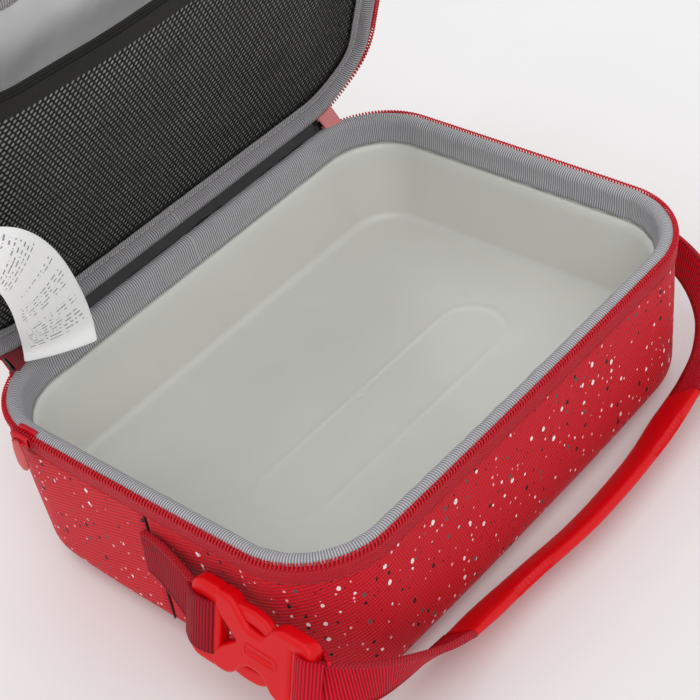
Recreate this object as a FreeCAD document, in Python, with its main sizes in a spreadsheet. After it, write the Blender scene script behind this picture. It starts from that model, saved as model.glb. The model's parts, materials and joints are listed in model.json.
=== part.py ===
import FreeCAD, Part
import math
import os

import Sketcher

# Insulated lunch box: a soft tub with a moulded liner, a zipped lid hinged along the
# back, and a carrying strap with a side-release buckle and a moulded grip.
# Millimetres, +Z up. The origin is the centre of the tub's flat bottom, +X runs along
# the long side and +Y points to the hinge at the back. The lid stands open.

SIZES = {
    # tub
    "box_length": 260.0, "box_depth": 198.0, "rim_height": 82.6, "corner_radius": 38.2,
    "base_round": 16.0, "fabric_thick": 1.0, "foam_thick": 7.0, "seam_y": -5.0,
    # moulded liner
    "liner_floor_inset": 13.8, "liner_bottom": 27.6, "liner_top": 71.0, "liner_draft": 7.0,
    "liner_thick": 1.4, "liner_round": 7.0, "bead_inset": 6.6, "bead_inner": 9.6, "bead_height": 1.6,
    # zip and binding
    "tape_height": 9.0, "tape_thick": 0.8, "coil_height": 2.2, "coil_out": 0.5, "coil_in": 0.75,
    "binding_outer": 0.9, "binding_inner": 6.2, "binding_height": 9.4, "binding_drop": 0.4,
    "coil_end_y": 96.0, "tab_end_x": 97.0, "tab_out": 0.9, "tab_rise": 0.6,
    # lid
    "lid_gap": 3.4, "lid_height": 26.0, "lid_round": 12.0, "lid_angle": 71.0, "axis_back": 0.4,
    "foil_thick": 0.5, "mesh_depth": 8.4, "mesh_thick": 0.6, "mesh_inset": 6.5,
    "mesh_reach": 138.0, "elastic_width": 12.0, "elastic_thick": 1.4,
    # hinge
    "hinge_half": 92.0, "hinge_leg": 11.0, "hinge_thick": 0.8, "lining_thick": 0.4,
    # strap
    "web_width": 20.0, "web_thick": 1.6, "lean_angle": 15.0,
    "buckle_width": 33.0, "buckle_thick": 7.0, "shell_wall": 1.3, "shell_end_inset": 1.5,
    "grip_width": 21.0, "grip_thick": 7.2,
    # zip slider
    "slider_y": 61.0, "slider_length": 10.0, "slider_width": 5.2, "slider_out": 4.0,
    "slider_deep": 0.9, "groove_gap": 0.4, "puller_length": 14.0, "puller_width": 7.0,
    "puller_thick": 2.2, "puller_out": 5.8, "puller_top": 1.0, "puller_neck": 4.0,
    "puller_end": 1.8, "pivot_rise": 0.5,
    # care label
    "label_width": 32.0, "label_thick": 0.3,
}

doc = FreeCAD.newDocument("lunch_box")
sheet = doc.addObject("Spreadsheet::Sheet", "Sizes")
for row, (alias, value) in enumerate(SIZES.items(), start=1):
    sheet.set(f"A{row}", alias)
    sheet.set(f"B{row}", str(value))
    sheet.setAlias(f"B{row}", alias)
doc.recompute()

V = FreeCAD.Vector
S = SIZES
nodes = []


def cell(*names):
    """The sheet expression that adds up the named cells; a leading minus subtracts one."""
    text = ""
    for name in names:
        sign = "-" if name.startswith("-") else "+"
        text += f" {sign} Sizes.{name.lstrip('-')}"
    return text.lstrip(" +")


def total(*names):
    """The same sum as a number."""
    return sum(-S[name[1:]] if name.startswith("-") else S[name] for name in names)


def origin_plane(body, role):
    return next(item for item in body.Origin.OriginFeatures if item.Role == role)


def new_sketch(body, name, role="XY_Plane"):
    sketch = body.newObject("Sketcher::SketchObject", name)
    sketch.AttachmentSupport = (origin_plane(body, role), [""])
    sketch.MapMode = "FlatFace"
    return sketch


def keep(item, label, body):
    """Register a finished sub-part: its label names its file, body is what it moves with."""
    item.Label = label
    nodes.append((label, body, item))
    return item


# ---------------------------------------------------------------- rounded outlines

def rounded_loop(sketch, key, inset):
    """One closed outline of the box, set in from its outer face by the named cells."""
    inset_value = total(*inset) if inset else 0.0
    half_x = S["box_length"] / 2 - inset_value
    half_y = S["box_depth"] / 2 - inset_value
    radius = S["corner_radius"] - inset_value
    cx = half_x - radius
    cy = half_y - radius
    first = sketch.GeometryCount
    corners = [(cx, -cy, -90), (cx, cy, 0), (-cx, cy, 90), (-cx, -cy, 180)]
    starts = [V(-cx, -half_y, 0), V(half_x, -cy, 0), V(cx, half_y, 0), V(-half_x, cy, 0)]
    ends = [V(cx, -half_y, 0), V(half_x, cy, 0), V(-cx, half_y, 0), V(-half_x, -cy, 0)]
    for start, end, (x, y, angle) in zip(starts, ends, corners):
        sketch.addGeometry(Part.LineSegment(start, end), False)
        circle = Part.Circle(V(x, y, 0), V(0, 0, 1), radius)
        arc = Part.ArcOfCircle(circle, math.radians(angle), math.radians(angle + 90))
        sketch.addGeometry(arc, False)
    for side in range(4):
        line = first + 2 * side
        arc = line + 1
        following = first + (2 * side + 2) % 8
        sketch.addConstraint(Sketcher.Constraint("Tangent", line, 2, arc, 1))
        sketch.addConstraint(Sketcher.Constraint("Tangent", arc, 2, following, 1))
        sketch.addConstraint(Sketcher.Constraint("Vertical" if side % 2 else "Horizontal", line))
        if side:
            sketch.addConstraint(Sketcher.Constraint("Equal", first + 1, arc))
    sketch.addConstraint(Sketcher.Constraint("Symmetric", first + 1, 3, first + 5, 3, -1, 1))
    inset_text = f" - 1 * ({cell(*inset)})" if inset else ""
    for name, constraint, text in (
            ("radius", Sketcher.Constraint("Radius", first + 1, radius),
             f"Sizes.corner_radius{inset_text}"),
            ("across", Sketcher.Constraint("Distance", first, 2 * cx),
             "Sizes.box_length - 2 * Sizes.corner_radius"),
            ("along", Sketcher.Constraint("Distance", first + 2, 2 * cy),
             "Sizes.box_depth - 2 * Sizes.corner_radius")):
        index = sketch.addConstraint(constraint)
        sketch.renameConstraint(index, f"{key}_{name}")
        sketch.setExpression(f"Constraints.{key}_{name}", text)


def place(item, base="0", lift=()):
    """Bind the height of an item to the sheet."""
    item.setExpression("Placement.Base.z", f"{base} + {cell(*lift)}" if lift else base)


def ring(name, outer, inner, low, height):
    """A wall that follows the box outline between two insets, standing on height cells low."""
    body = doc.addObject("PartDesign::Body", name)
    sketch = new_sketch(body, name + "_outline")
    rounded_loop(sketch, "outer", outer)
    rounded_loop(sketch, "inner", inner)
    pad = body.newObject("PartDesign::Pad", name + "_pad")
    pad.Profile = sketch
    pad.setExpression("Length", cell(*height))
    place(body, lift=low)
    return body


def block(name, inset, low, height, rounding=(), top=False):
    """A solid of the box outline whose lower, or upper, edge is rounded."""
    body = doc.addObject("PartDesign::Body", name)
    sketch = new_sketch(body, name + "_outline")
    rounded_loop(sketch, "outer", inset)
    pad = body.newObject("PartDesign::Pad", name + "_pad")
    pad.Profile = sketch
    pad.setExpression("Length", cell(*height))
    place(body, lift=low)
    if rounding:
        doc.recompute()
        level = total(*height) if top else 0.0
        edges = [f"Edge{number}" for number, edge in enumerate(pad.Shape.Edges, start=1)
                 if abs(edge.BoundBox.ZMin - level) < 1e-6 and abs(edge.BoundBox.ZMax - level) < 1e-6]
        fillet = body.newObject("PartDesign::Fillet", name + "_edge")
        fillet.Base = (pad, edges)
        fillet.setExpression("Radius", cell(*rounding))
    return body


def boolean(kind, name, base, tool):
    item = doc.addObject(f"Part::{kind}", name)
    item.Base = base
    item.Tool = tool
    return item


def clip(name, item, low, high):
    """The part of an item inside an upright box, given by its lowest and highest corners."""
    box = doc.addObject("Part::Box", name + "_zone")
    box.Length, box.Width, box.Height = (b - a for a, b in zip(low, high))
    box.Placement.Base = V(*low)
    return boolean("Common", name, item, box)


# ---------------------------------------------------------------- tub

FAR = 400.0


def half_gusset(label, low_y, high_y):
    wall = ring(label + "_wall", (), ("fabric_thick",), ("base_round",),
                ("rim_height", "-base_round", "-tape_height", "-coil_height"))
    return keep(clip(label + "_shape", wall, (-FAR, low_y, -FAR), (FAR, high_y, FAR)), label, "root")


def tub_parts():
    outer = block("base_outer", (), (), ("base_round",), ("base_round", "-fabric_thick"))
    inner = block("base_inner", ("fabric_thick",), ("fabric_thick",), ("base_round",),
                  ("base_round", "-fabric_thick", "-fabric_thick"))
    keep(boolean("Cut", "base_shape", outer, inner), "bottom_panel", "root")
    half_gusset("front_gusset", -FAR, S["seam_y"])
    half_gusset("rear_gusset", S["seam_y"], FAR)

    low_foam = block("foam_low", ("fabric_thick",), ("fabric_thick",),
                     ("base_round", "-fabric_thick"),
                     ("base_round", "-fabric_thick", "-fabric_thick"))
    high_foam = block("foam_high", ("fabric_thick", "foam_thick"), ("base_round",),
                      ("liner_bottom", "-base_round"))
    keep(boolean("Fuse", "foam_shape", low_foam, high_foam), "bottom_foam", "root")
    side = ring("side_foam_ring", ("fabric_thick",), ("fabric_thick", "foam_thick"),
                ("base_round",), ("liner_top", "-bead_height", "-base_round"))
    keep(side, "side_foam", "root")


def drafted_block(name, inset, low, height):
    """A block that widens upward by the liner's draft, with a rounded floor edge."""
    body = doc.addObject("PartDesign::Body", name)
    floor = new_sketch(body, name + "_floor")
    rounded_loop(floor, "floor", inset)
    pad = body.newObject("PartDesign::Pad", name + "_pad")
    pad.Profile = floor
    pad.setExpression("Length", cell(*height))
    pad.setExpression("TaperAngle", "Sizes.liner_draft")
    place(body, lift=low)
    doc.recompute()
    edges = [f"Edge{number}" for number, edge in enumerate(pad.Shape.Edges, start=1)
             if edge.BoundBox.ZMax < 1e-6]
    fillet = body.newObject("PartDesign::Fillet", name + "_edge")
    fillet.Base = (pad, edges)
    fillet.setExpression("Radius", cell("liner_round", *("-" + item for item in inset[1:])))
    return body


def liner():
    outer = drafted_block("liner_outer", ("liner_floor_inset",), ("liner_bottom",),
                          ("liner_top", "-liner_bottom"))
    inner = drafted_block("liner_inner", ("liner_floor_inset", "liner_thick"),
                          ("liner_bottom", "liner_thick"),
                          ("liner_top", "bead_height", "-liner_bottom", "-liner_thick"))
    bead = ring("liner_bead", ("bead_inset",), ("bead_inner",), ("liner_top", "-bead_height"),
                ("bead_height",))
    solid = boolean("Fuse", "liner_solid", outer, bead)
    keep(boolean("Cut", "liner_shape", solid, inner), "moulded_liner", "root")


# ---------------------------------------------------------------- zip, binding, tabs

def opening_trim(prefix, body, rim, upward, lift_to_lid):
    """Binding, zip tape and zip coil round one rim. upward is +1 on the tub, -1 on the lid."""
    def height_pair(offset, size):
        if upward > 0:
            return (rim,) + tuple("-" + item for item in offset + size)
        return (rim, "lid_gap") + offset

    def finish(item, label, ends=None):
        if ends is not None:
            item = clip(label + "_shape", item, (-FAR, -FAR, -FAR), (FAR, ends, FAR))
        return keep(lift_to_lid(item), label, body)

    binding = ring(prefix + "_binding_ring", ("binding_outer",), ("binding_inner",),
                   height_pair(("binding_drop",), ("binding_height",)), ("binding_height",))
    finish(binding, "rim_binding" if upward > 0 else "lid_binding")
    tape = ring(prefix + "_tape_ring", (), ("tape_thick",),
                height_pair(("coil_height",), ("tape_height",)), ("tape_height",))
    finish(tape, prefix + "_zip_tape")
    coil = doc.addObject("PartDesign::Body", prefix + "_coil_ring")
    sketch = new_sketch(coil, prefix + "_coil_outline")
    rounded_loop(sketch, "outer", ("-coil_out",))
    rounded_loop(sketch, "inner", ("coil_in",))
    pad = coil.newObject("PartDesign::Pad", prefix + "_coil_pad")
    pad.Profile = sketch
    pad.setExpression("Length", "Sizes.coil_height")
    place(coil, lift=height_pair((), ("coil_height",)))
    finish(coil, prefix + "_zip_coil", S["coil_end_y"])


def end_tab(label, low_x, high_x):
    """A folded fabric tab that covers one end of the tub's zip coil."""
    wrap = ring(label + "_ring", ("-tab_out",), ("coil_in",), ("rim_height", "-coil_height"),
                ("coil_height", "tab_rise"))
    zone = ((low_x, S["coil_end_y"] + 0.1, -FAR), (high_x, FAR, FAR))
    keep(clip(label + "_shape", wrap, *zone), label, "root")


# ---------------------------------------------------------------- lid

HINGE = V(0, S["box_depth"] / 2 + S["axis_back"], S["rim_height"] + S["lid_gap"] / 2)
OPEN = FreeCAD.Rotation(V(1, 0, 0), -S["lid_angle"])


def opened(item):
    """Swing an item that was built on the closed lid about the hinge line."""
    swing = FreeCAD.Placement(V(0, 0, 0), OPEN, HINGE)
    carrier = doc.addObject("Part::Compound", item.Name + "_open")
    carrier.Links = [item]
    carrier.Placement = swing
    return carrier


def lid_parts():
    roof = ("rim_height", "lid_gap", "lid_height")
    outer = block("lid_outer", (), roof[:2] + ("lid_height", "-lid_round"), ("lid_round",),
                  ("lid_round", "-fabric_thick"), top=True)
    inner = block("lid_inner", ("fabric_thick",), roof[:2] + ("lid_height", "-lid_round", "-fabric_thick"),
                  ("lid_round",), ("lid_round", "-fabric_thick", "-fabric_thick"), top=True)
    keep(opened(boolean("Cut", "lid_top_shape", outer, inner)), "lid_panel", "lid")
    wall = ring("lid_wall", (), ("fabric_thick",), ("rim_height", "lid_gap", "coil_height", "tape_height"),
                ("lid_height", "-lid_round", "-coil_height", "-tape_height"))
    keep(opened(wall), "lid_gusset", "lid")

    foam_low = ("rim_height", "lid_gap", "binding_drop", "binding_height")
    foam_high = ("lid_height", "-fabric_thick", "-binding_drop", "-binding_height")
    foam_outer = block("lid_foam_outer", ("fabric_thick",), foam_low, foam_high,
                       ("lid_round", "-fabric_thick", "-fabric_thick"), top=True)
    foam_inner = block("lid_foam_inner", ("fabric_thick", "foam_thick"), foam_low,
                       foam_high + ("-foam_thick",))
    keep(opened(boolean("Cut", "lid_foam_shape", foam_outer, foam_inner)), "lid_foam", "lid")
    foil_outer = block("foil_outer", ("fabric_thick", "foam_thick"), foam_low, foam_high + ("-foam_thick",))
    foil_inner = block("foil_inner", ("fabric_thick", "foam_thick", "foil_thick"), foam_low,
                       foam_high + ("-foam_thick", "-foil_thick"))
    keep(opened(boolean("Cut", "foil_shape", foil_outer, foil_inner)), "lid_lining", "lid")

    back = S["box_depth"] / 2
    mesh = block("mesh_plate", ("mesh_inset",), ("rim_height", "lid_gap", "mesh_depth"),
                 ("mesh_thick",))
    edge_y = back - S["mesh_reach"]
    keep(opened(clip("mesh_shape", mesh, (-FAR, edge_y, -FAR), (FAR, back, FAR))), "mesh_pocket", "lid")
    band = block("elastic_plate", ("mesh_inset",), ("rim_height", "lid_gap", "mesh_depth"),
                 ("elastic_thick",))
    band_zone = ((-FAR, edge_y - S["elastic_width"], -FAR), (FAR, edge_y, FAR))
    keep(opened(clip("elastic_shape", band, *band_zone)), "pocket_elastic", "lid")


# ---------------------------------------------------------------- hinge fabric

def strip(label, points, thick, half, body):
    """A thin strip of cloth along X whose profile follows points in the YZ plane."""
    spine = [V(0, y, z) for y, z in points]
    left = []
    right = []
    for index, point in enumerate(spine):
        ahead = spine[min(index + 1, len(spine) - 1)] - spine[max(index - 1, 0)]
        normal = V(0, ahead.z, -ahead.y).normalize() * thick
        left.append(point)
        right.append(point + normal)
    loop = left + right[::-1]
    face = Part.Face(Part.makePolygon(loop + loop[:1]))
    item = doc.addObject("Part::Feature", label + "_shape")
    item.Shape = face.extrude(V(2 * half, 0, 0))
    item.Placement = FreeCAD.Placement(V(-half, 0, 0), FreeCAD.Rotation())
    return keep(item, label, body)


def hinge_parts():
    back = S["box_depth"] / 2
    rim = S["rim_height"]

    def on_lid(y, z):
        moved = OPEN.multVec(V(0, y - HINGE.y, z - HINGE.z)) + HINGE
        return moved.y, moved.z

    low = rim + S["lid_gap"]
    outer = [(back + 0.1, rim - S["hinge_leg"]), (back + 0.1, rim - 1.0), (back + 0.5, rim + 0.4),
             on_lid(back + 0.5, low - 0.4), on_lid(back + 0.1, low + 1.0),
             on_lid(back + 0.1, low + S["hinge_leg"])]
    strip("hinge_fabric", outer, S["hinge_thick"], S["hinge_half"], "root")
    inner = [(back - 3.0, rim + 0.2), (back - 1.2, rim + 0.5), on_lid(back - 1.2, low - 0.5),
             on_lid(back - 3.0, low - 0.2)]
    strip("hinge_lining", inner, S["lining_thick"], S["hinge_half"], "root")


# ---------------------------------------------------------------- strap

LEAN = math.radians(S["lean_angle"])


def ribbon(label, stations, width, thick, body):
    """A flat strap through stations (x, y, z, lean in degrees). Its width stands upright at no
    lean; a positive lean moves its lower edge outward, a negative one its upper edge."""
    centres = [V(*station[:3]) for station in stations]
    sections = []
    for index, centre in enumerate(centres):
        along = centres[min(index + 1, len(centres) - 1)] - centres[max(index - 1, 0)]
        along.z = 0.0
        along.normalize()
        lean = math.radians(stations[index][3])
        out = V(along.y, -along.x, 0)
        upright = V(0, 0, 1) * math.cos(lean) - out * math.sin(lean)
        face_out = out * math.cos(lean) + V(0, 0, 1) * math.sin(lean)
        corners = [centre + upright * (a * width / 2) + face_out * (b * thick / 2)
                   for a, b in ((1, 1), (1, -1), (-1, -1), (-1, 1))]
        sections.append(Part.makePolygon(corners + corners[:1]))
    item = doc.addObject("Part::Feature", label + "_shape")
    item.Shape = Part.makeLoft(sections, True, True)
    return keep(item, label, body)


# Centre line of the strap from the buckle's outlet, round the front left corner, along the
# front, round the front right corner and back to its seam, as (x, y, z, lean).
LEFT_WEB = [(-141.5, -100.8, 45.4, 15), (-138.6, -105.0, 44.4, 14), (-132.0, -109.3, 41.4, 8),
            (-121.0, -112.0, 35.5, -8), (-106.0, -112.5, 27.5, -26), (-90.0, -112.0, 19.5, -42),
            (-75.0, -111.5, 14.2, -51)]
GRIP = [(-74.5, -111.5, 14.0, -51), (-50.0, -111.5, 11.4, -51), (-30.0, -112.8, 10.8, -51),
        (0.0, -115.8, 10.8, -51), (30.0, -115.8, 10.8, -51), (55.0, -114.2, 11.2, -51),
        (75.0, -112.0, 12.8, -51), (87.0, -111.0, 14.4, -51)]
RIGHT_WEB = [(87.6, -110.9, 14.5, -51), (102.0, -109.0, 17.0, -48), (119.0, -104.5, 21.0, -42),
             (135.0, -94.0, 27.0, -30), (147.0, -76.0, 33.0, -14), (151.0, -54.0, 40.0, 0),
             (145.5, -31.0, 47.0, 4), (137.0, -13.0, 52.5, 4), (132.4, -5.0, 54.0, 0)]
ANCHOR = [(-134.2, -6.0, 56.0, 4), (-135.2, -16.0, 54.5, 8), (-138.0, -28.0, 52.0, 12),
          (-140.6, -37.5, 49.6, 15)]

# Buckle frame: local X runs from the male bar to the female outlet, local Y is the width with
# +Y upward, local Z is the thickness pointing away from the box.
BUCKLE_AT = V(-141.0, -43.0, 47.6)
LENGTHWISE = V(-0.4, -45.5, -1.8).normalize()
UPWARD = V(math.sin(LEAN), 0, math.cos(LEAN))
UPWARD = (UPWARD - LENGTHWISE * UPWARD.dot(LENGTHWISE)).normalize()
OUTWARD = LENGTHWISE.cross(UPWARD)
BUCKLE_FRAME = FreeCAD.Placement(FreeCAD.Matrix(
    LENGTHWISE.x, UPWARD.x, OUTWARD.x, BUCKLE_AT.x,
    LENGTHWISE.y, UPWARD.y, OUTWARD.y, BUCKLE_AT.y,
    LENGTHWISE.z, UPWARD.z, OUTWARD.z, BUCKLE_AT.z,
    0, 0, 0, 1))


def outline_pad(name, loops, thick_cells, mirrored=False):
    """A PartDesign plate padded both ways from its sketch; loops are closed lists of corners."""
    body = doc.addObject("PartDesign::Body", name)
    sketch = new_sketch(body, name + "_outline")
    for loop in loops:
        for start, end in zip(loop, loop[1:] + loop[:1]):
            sketch.addGeometry(Part.LineSegment(V(*start, 0), V(*end, 0)), False)
    pad = body.newObject("PartDesign::Pad", name + "_pad")
    pad.Profile = sketch
    pad.Midplane = True
    pad.setExpression("Length", thick_cells)
    body.Placement = BUCKLE_FRAME
    return body


def box_loop(x0, x1, y0, y1):
    return [(x0, y0), (x1, y0), (x1, y1), (x0, y1)]


def buckle():
    """A side-release buckle: the male half has a webbing bar, a spine and two springy prongs, and
    the female half is a waisted shell that shows the prongs at its sides, with a bar at its end."""
    half = S["buckle_width"] / 2
    mouth = half - S["shell_wall"]
    shoulder = half - S["shell_end_inset"]
    web = S["web_width"] / 2 + 0.6
    male = outline_pad("male_plate", [
        [(-3.0, -half), (7.6, -half), (7.6, -9.5), (13.0, -9.5), (13.0, -2.2), (34.0, -2.2),
         (34.0, 2.2), (13.0, 2.2), (13.0, 9.5), (7.6, 9.5), (7.6, half), (-3.0, half)],
        box_loop(0.8, 4.8, -web, web)], "Sizes.buckle_thick - 2.8")
    keep(male, "buckle_male", "male")
    for label, side in (("prong_upper", 1), ("prong_lower", -1)):
        prong = outline_pad(label + "_plate", [[
            (13.6, side * 4.8), (13.6, side * 9.0), (19.0, side * 13.2), (30.0, side * 14.6),
            (35.6, side * 12.0), (31.0, side * 11.4), (20.0, side * 9.6)]], "Sizes.buckle_thick - 3.4")
        keep(prong, label, label)
    shell = outline_pad("female_plate", [
        [(8.5, -half), (17.0, -half), (22.0, -8.0), (37.0, -8.0), (39.0, -shoulder), (55.0, -shoulder),
         (55.0, shoulder), (39.0, shoulder), (37.0, 8.0), (22.0, 8.0), (17.0, half), (8.5, half)]],
        "Sizes.buckle_thick")
    throat = outline_pad("female_throat", [[(7.5, -mouth), (19.0, -mouth), (24.0, -6.0), (36.0, -6.0),
                                            (36.0, 6.0), (24.0, 6.0), (19.0, mouth), (7.5, mouth)]],
                         "Sizes.buckle_thick - 2")
    slot = outline_pad("female_slot", [box_loop(45.5, 49.5, -web, web)], "Sizes.buckle_thick + 2")
    carved = boolean("Cut", "female_carved", shell, throat)
    keep(boolean("Cut", "female_shape", carved, slot), "buckle_female", "strap")


def strap_parts():
    thick = 2 * S["web_thick"]
    ribbon("webbing_left", LEFT_WEB, S["web_width"], thick, "strap")
    ribbon("handle_grip", GRIP, S["grip_width"], S["grip_thick"], "strap")
    ribbon("webbing_right", RIGHT_WEB, S["web_width"], S["web_thick"], "strap")
    ribbon("anchor_webbing", ANCHOR, S["web_width"], thick, "male")
    buckle()


# ---------------------------------------------------------------- zip slider and label

def slider_parts():
    """The zip slider that straddles the coil on the left side, and the puller that hangs on it."""
    side = -S["box_length"] / 2
    middle = S["rim_height"] - S["coil_height"] / 2
    half = S["slider_length"] / 2
    body = doc.addObject("Part::Box", "slider_block")
    body.setExpression("Length", "Sizes.slider_out - Sizes.slider_deep + 0.1")
    body.setExpression("Width", "Sizes.slider_length")
    body.setExpression("Height", "Sizes.slider_width")
    body.Placement.Base = V(side - S["slider_out"], S["slider_y"] - half, middle - S["slider_width"] / 2)
    groove = doc.addObject("Part::Box", "slider_groove")
    groove.setExpression("Length", "Sizes.slider_out")
    groove.setExpression("Width", "2 * Sizes.slider_length")
    groove.setExpression("Height", "Sizes.coil_height + 2 * Sizes.groove_gap")
    groove.Placement.Base = V(side - S["slider_deep"], S["slider_y"] - 2 * half,
                              middle - S["coil_height"] / 2 - S["groove_gap"])
    keep(boolean("Cut", "slider_shape", body, groove), "zip_slider", "slider")

    puller = doc.addObject("PartDesign::Body", "puller_plate")
    sketch = new_sketch(puller, "puller_outline", "YZ_Plane")
    wide = S["puller_width"] / 2
    end = S["puller_end"]
    top = S["puller_top"]
    foot = top - S["puller_length"] - end
    loop = [(-end, top), (end, top), (wide, -S["puller_neck"]), (wide, foot + end), (end, foot),
            (-end, foot), (-wide, foot + end), (-wide, -S["puller_neck"])]
    for start, finish in zip(loop, loop[1:] + loop[:1]):
        sketch.addGeometry(Part.LineSegment(V(*start, 0), V(*finish, 0)), False)
    pad = puller.newObject("PartDesign::Pad", "puller_pad")
    pad.Profile = sketch
    pad.Midplane = True
    pad.setExpression("Length", "Sizes.puller_thick")
    puller.Placement.Base = V(side - S["puller_out"], S["slider_y"], middle + S["pivot_rise"])
    keep(puller, "zip_puller", "puller")


# The label's centre line from the lid's left binding down to the tub's rim, and the direction
# of its upper edge at each station, as (x, y, z) and (dx, dy, dz).
LABEL = [((-122.0, 60.5, 168.0), (0.0, -0.39, 0.92)), ((-112.0, 62.0, 160.0), (0.35, -0.40, 0.85)),
         ((-101.0, 67.0, 140.0), (0.66, -0.35, 0.66)), ((-93.0, 75.0, 115.0), (0.85, -0.38, 0.36)),
         ((-89.0, 81.0, 97.0), (0.86, -0.48, 0.12)), ((-90.0, 81.0, 88.0), (0.83, -0.55, 0.0))]


def care_label():
    """A satin label sewn into the lid's left binding that droops down to the tub's rim."""
    sections = []
    for index, (point, edge) in enumerate(LABEL):
        centre = V(*point)
        across = V(*edge).normalize() * (S["label_width"] / 2)
        along = V(*LABEL[min(index + 1, len(LABEL) - 1)][0]) - V(*LABEL[max(index - 1, 0)][0])
        normal = along.cross(across).normalize() * S["label_thick"]
        corners = [centre - across, centre + across, centre + across + normal, centre - across + normal]
        sections.append(Part.makePolygon(corners + corners[:1]))
    item = doc.addObject("Part::Feature", "label_shape")
    item.Shape = Part.makeLoft(sections, True, True)
    return keep(item, "care_label", "lid")


# ---------------------------------------------------------------- build, check and write

tub_parts()
liner()
opening_trim("lower", "root", "rim_height", 1, lambda item: item)
opening_trim("upper", "lid", "rim_height", -1, opened)
end_tab("zip_end_tab_left", -FAR, -S["tab_end_x"])
end_tab("zip_end_tab_right", S["tab_end_x"], FAR)
lid_parts()
hinge_parts()
strap_parts()
slider_parts()
care_label()
doc.recompute()

for item in doc.Objects:
    if "Invalid" in item.State or "Error" in item.State:
        raise RuntimeError(f"{item.Label} failed: {item.State}")

os.makedirs("parts", exist_ok=True)
for label, body, item in nodes:
    shape = item.Shape
    if shape.isNull() or not shape.isValid() or not shape.Solids:
        raise RuntimeError(f"{label} has no valid solid")
    shape.exportStep(os.path.join("parts", f"{label}.step"))
    print(f"{label:20s} {body:12s} {shape.Volume / 1000:9.2f} cm3  solids {len(shape.Solids)}")
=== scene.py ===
import json
import math

import bpy
import numpy as np
from mathutils import Matrix, Vector


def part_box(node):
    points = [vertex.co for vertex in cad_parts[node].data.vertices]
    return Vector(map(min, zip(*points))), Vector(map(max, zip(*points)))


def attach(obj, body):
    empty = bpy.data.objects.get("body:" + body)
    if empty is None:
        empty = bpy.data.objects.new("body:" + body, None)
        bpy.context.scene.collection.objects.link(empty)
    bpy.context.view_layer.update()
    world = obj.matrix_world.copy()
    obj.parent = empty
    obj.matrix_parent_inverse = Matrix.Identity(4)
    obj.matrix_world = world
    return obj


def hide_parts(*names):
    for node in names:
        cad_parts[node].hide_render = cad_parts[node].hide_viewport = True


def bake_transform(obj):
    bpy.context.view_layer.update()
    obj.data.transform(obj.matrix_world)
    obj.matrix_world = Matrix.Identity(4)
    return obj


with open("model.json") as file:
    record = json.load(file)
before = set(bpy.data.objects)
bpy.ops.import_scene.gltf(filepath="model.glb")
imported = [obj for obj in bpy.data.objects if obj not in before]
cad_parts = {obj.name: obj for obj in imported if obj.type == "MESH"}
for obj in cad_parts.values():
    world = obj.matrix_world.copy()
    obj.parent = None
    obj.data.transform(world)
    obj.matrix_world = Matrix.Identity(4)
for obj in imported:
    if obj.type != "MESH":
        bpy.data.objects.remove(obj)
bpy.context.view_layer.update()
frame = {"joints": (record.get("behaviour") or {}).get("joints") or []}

# Lunch box with its lid open. Metres, +Z up, front is -Y, hinge at the back (+Y).
MM = 0.001

# ------------------------------------------------------------------ driving sizes and places

HALF_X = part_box("front_gusset")[1].x
HALF_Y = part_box("rear_gusset")[1].y
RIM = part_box("lower_zip_coil")[1].z
BASE_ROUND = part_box("bottom_panel")[1].z
CORNER = 38.2 * MM
LINER_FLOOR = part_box("moulded_liner")[0].z + 1.4 * MM
LINER_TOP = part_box("moulded_liner")[1].z
JOINTS = {joint["name"]: joint for joint in frame["joints"]}
HINGE = Vector(JOINTS["lid_hinge"]["pos_m"])
LID_GAP = 2 * (HINGE.z - RIM)
LID_RIM = RIM + LID_GAP
LID_HEIGHT = 26 * MM
LID_ANGLE = math.radians(71)
CX = HALF_X - CORNER
CY = HALF_Y - CORNER
ARC = math.pi / 2 * CORNER
PERIMETER = 4 * CX + 4 * CY + 4 * ARC
COIL_START = CX + math.radians(22.9) * CORNER
COIL_END = PERIMETER - COIL_START
BACK_INSET = 1.2 * MM
LID_FLARE = 4.6 * MM
HINGE_PLUMP = 1.2 * MM
CLOTH_THICK = 0.9 * MM
COIL_PITCH = 1.6 * MM
WEB_WIDTH = 21 * MM
LABEL_HALF = 16 * MM

# ------------------------------------------------------------------ number helpers


def ripple(u, v, size, seed):
    """Smooth seeded bumps between about -1 and 1, for cloth that is never quite flat."""
    rng = np.random.default_rng(seed)
    total = np.zeros(np.broadcast(u, v).shape)
    for octave in range(3):
        for _ in range(5):
            angle = rng.uniform(0, 2 * math.pi)
            wave = 2 * math.pi / (size * rng.uniform(0.7, 1.4)) * 1.8 ** octave
            phase = rng.uniform(0, 2 * math.pi)
            swing = np.cos(angle) * u + np.sin(angle) * v
            total = total + np.sin(wave * swing + phase) / 1.9 ** octave
    return total / 6.0


def step(low, high, value):
    """A smooth ramp from 0 at low to 1 at high."""
    t = np.clip((value - low) / (high - low), 0, 1)
    return t * t * (3 - 2 * t)


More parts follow.
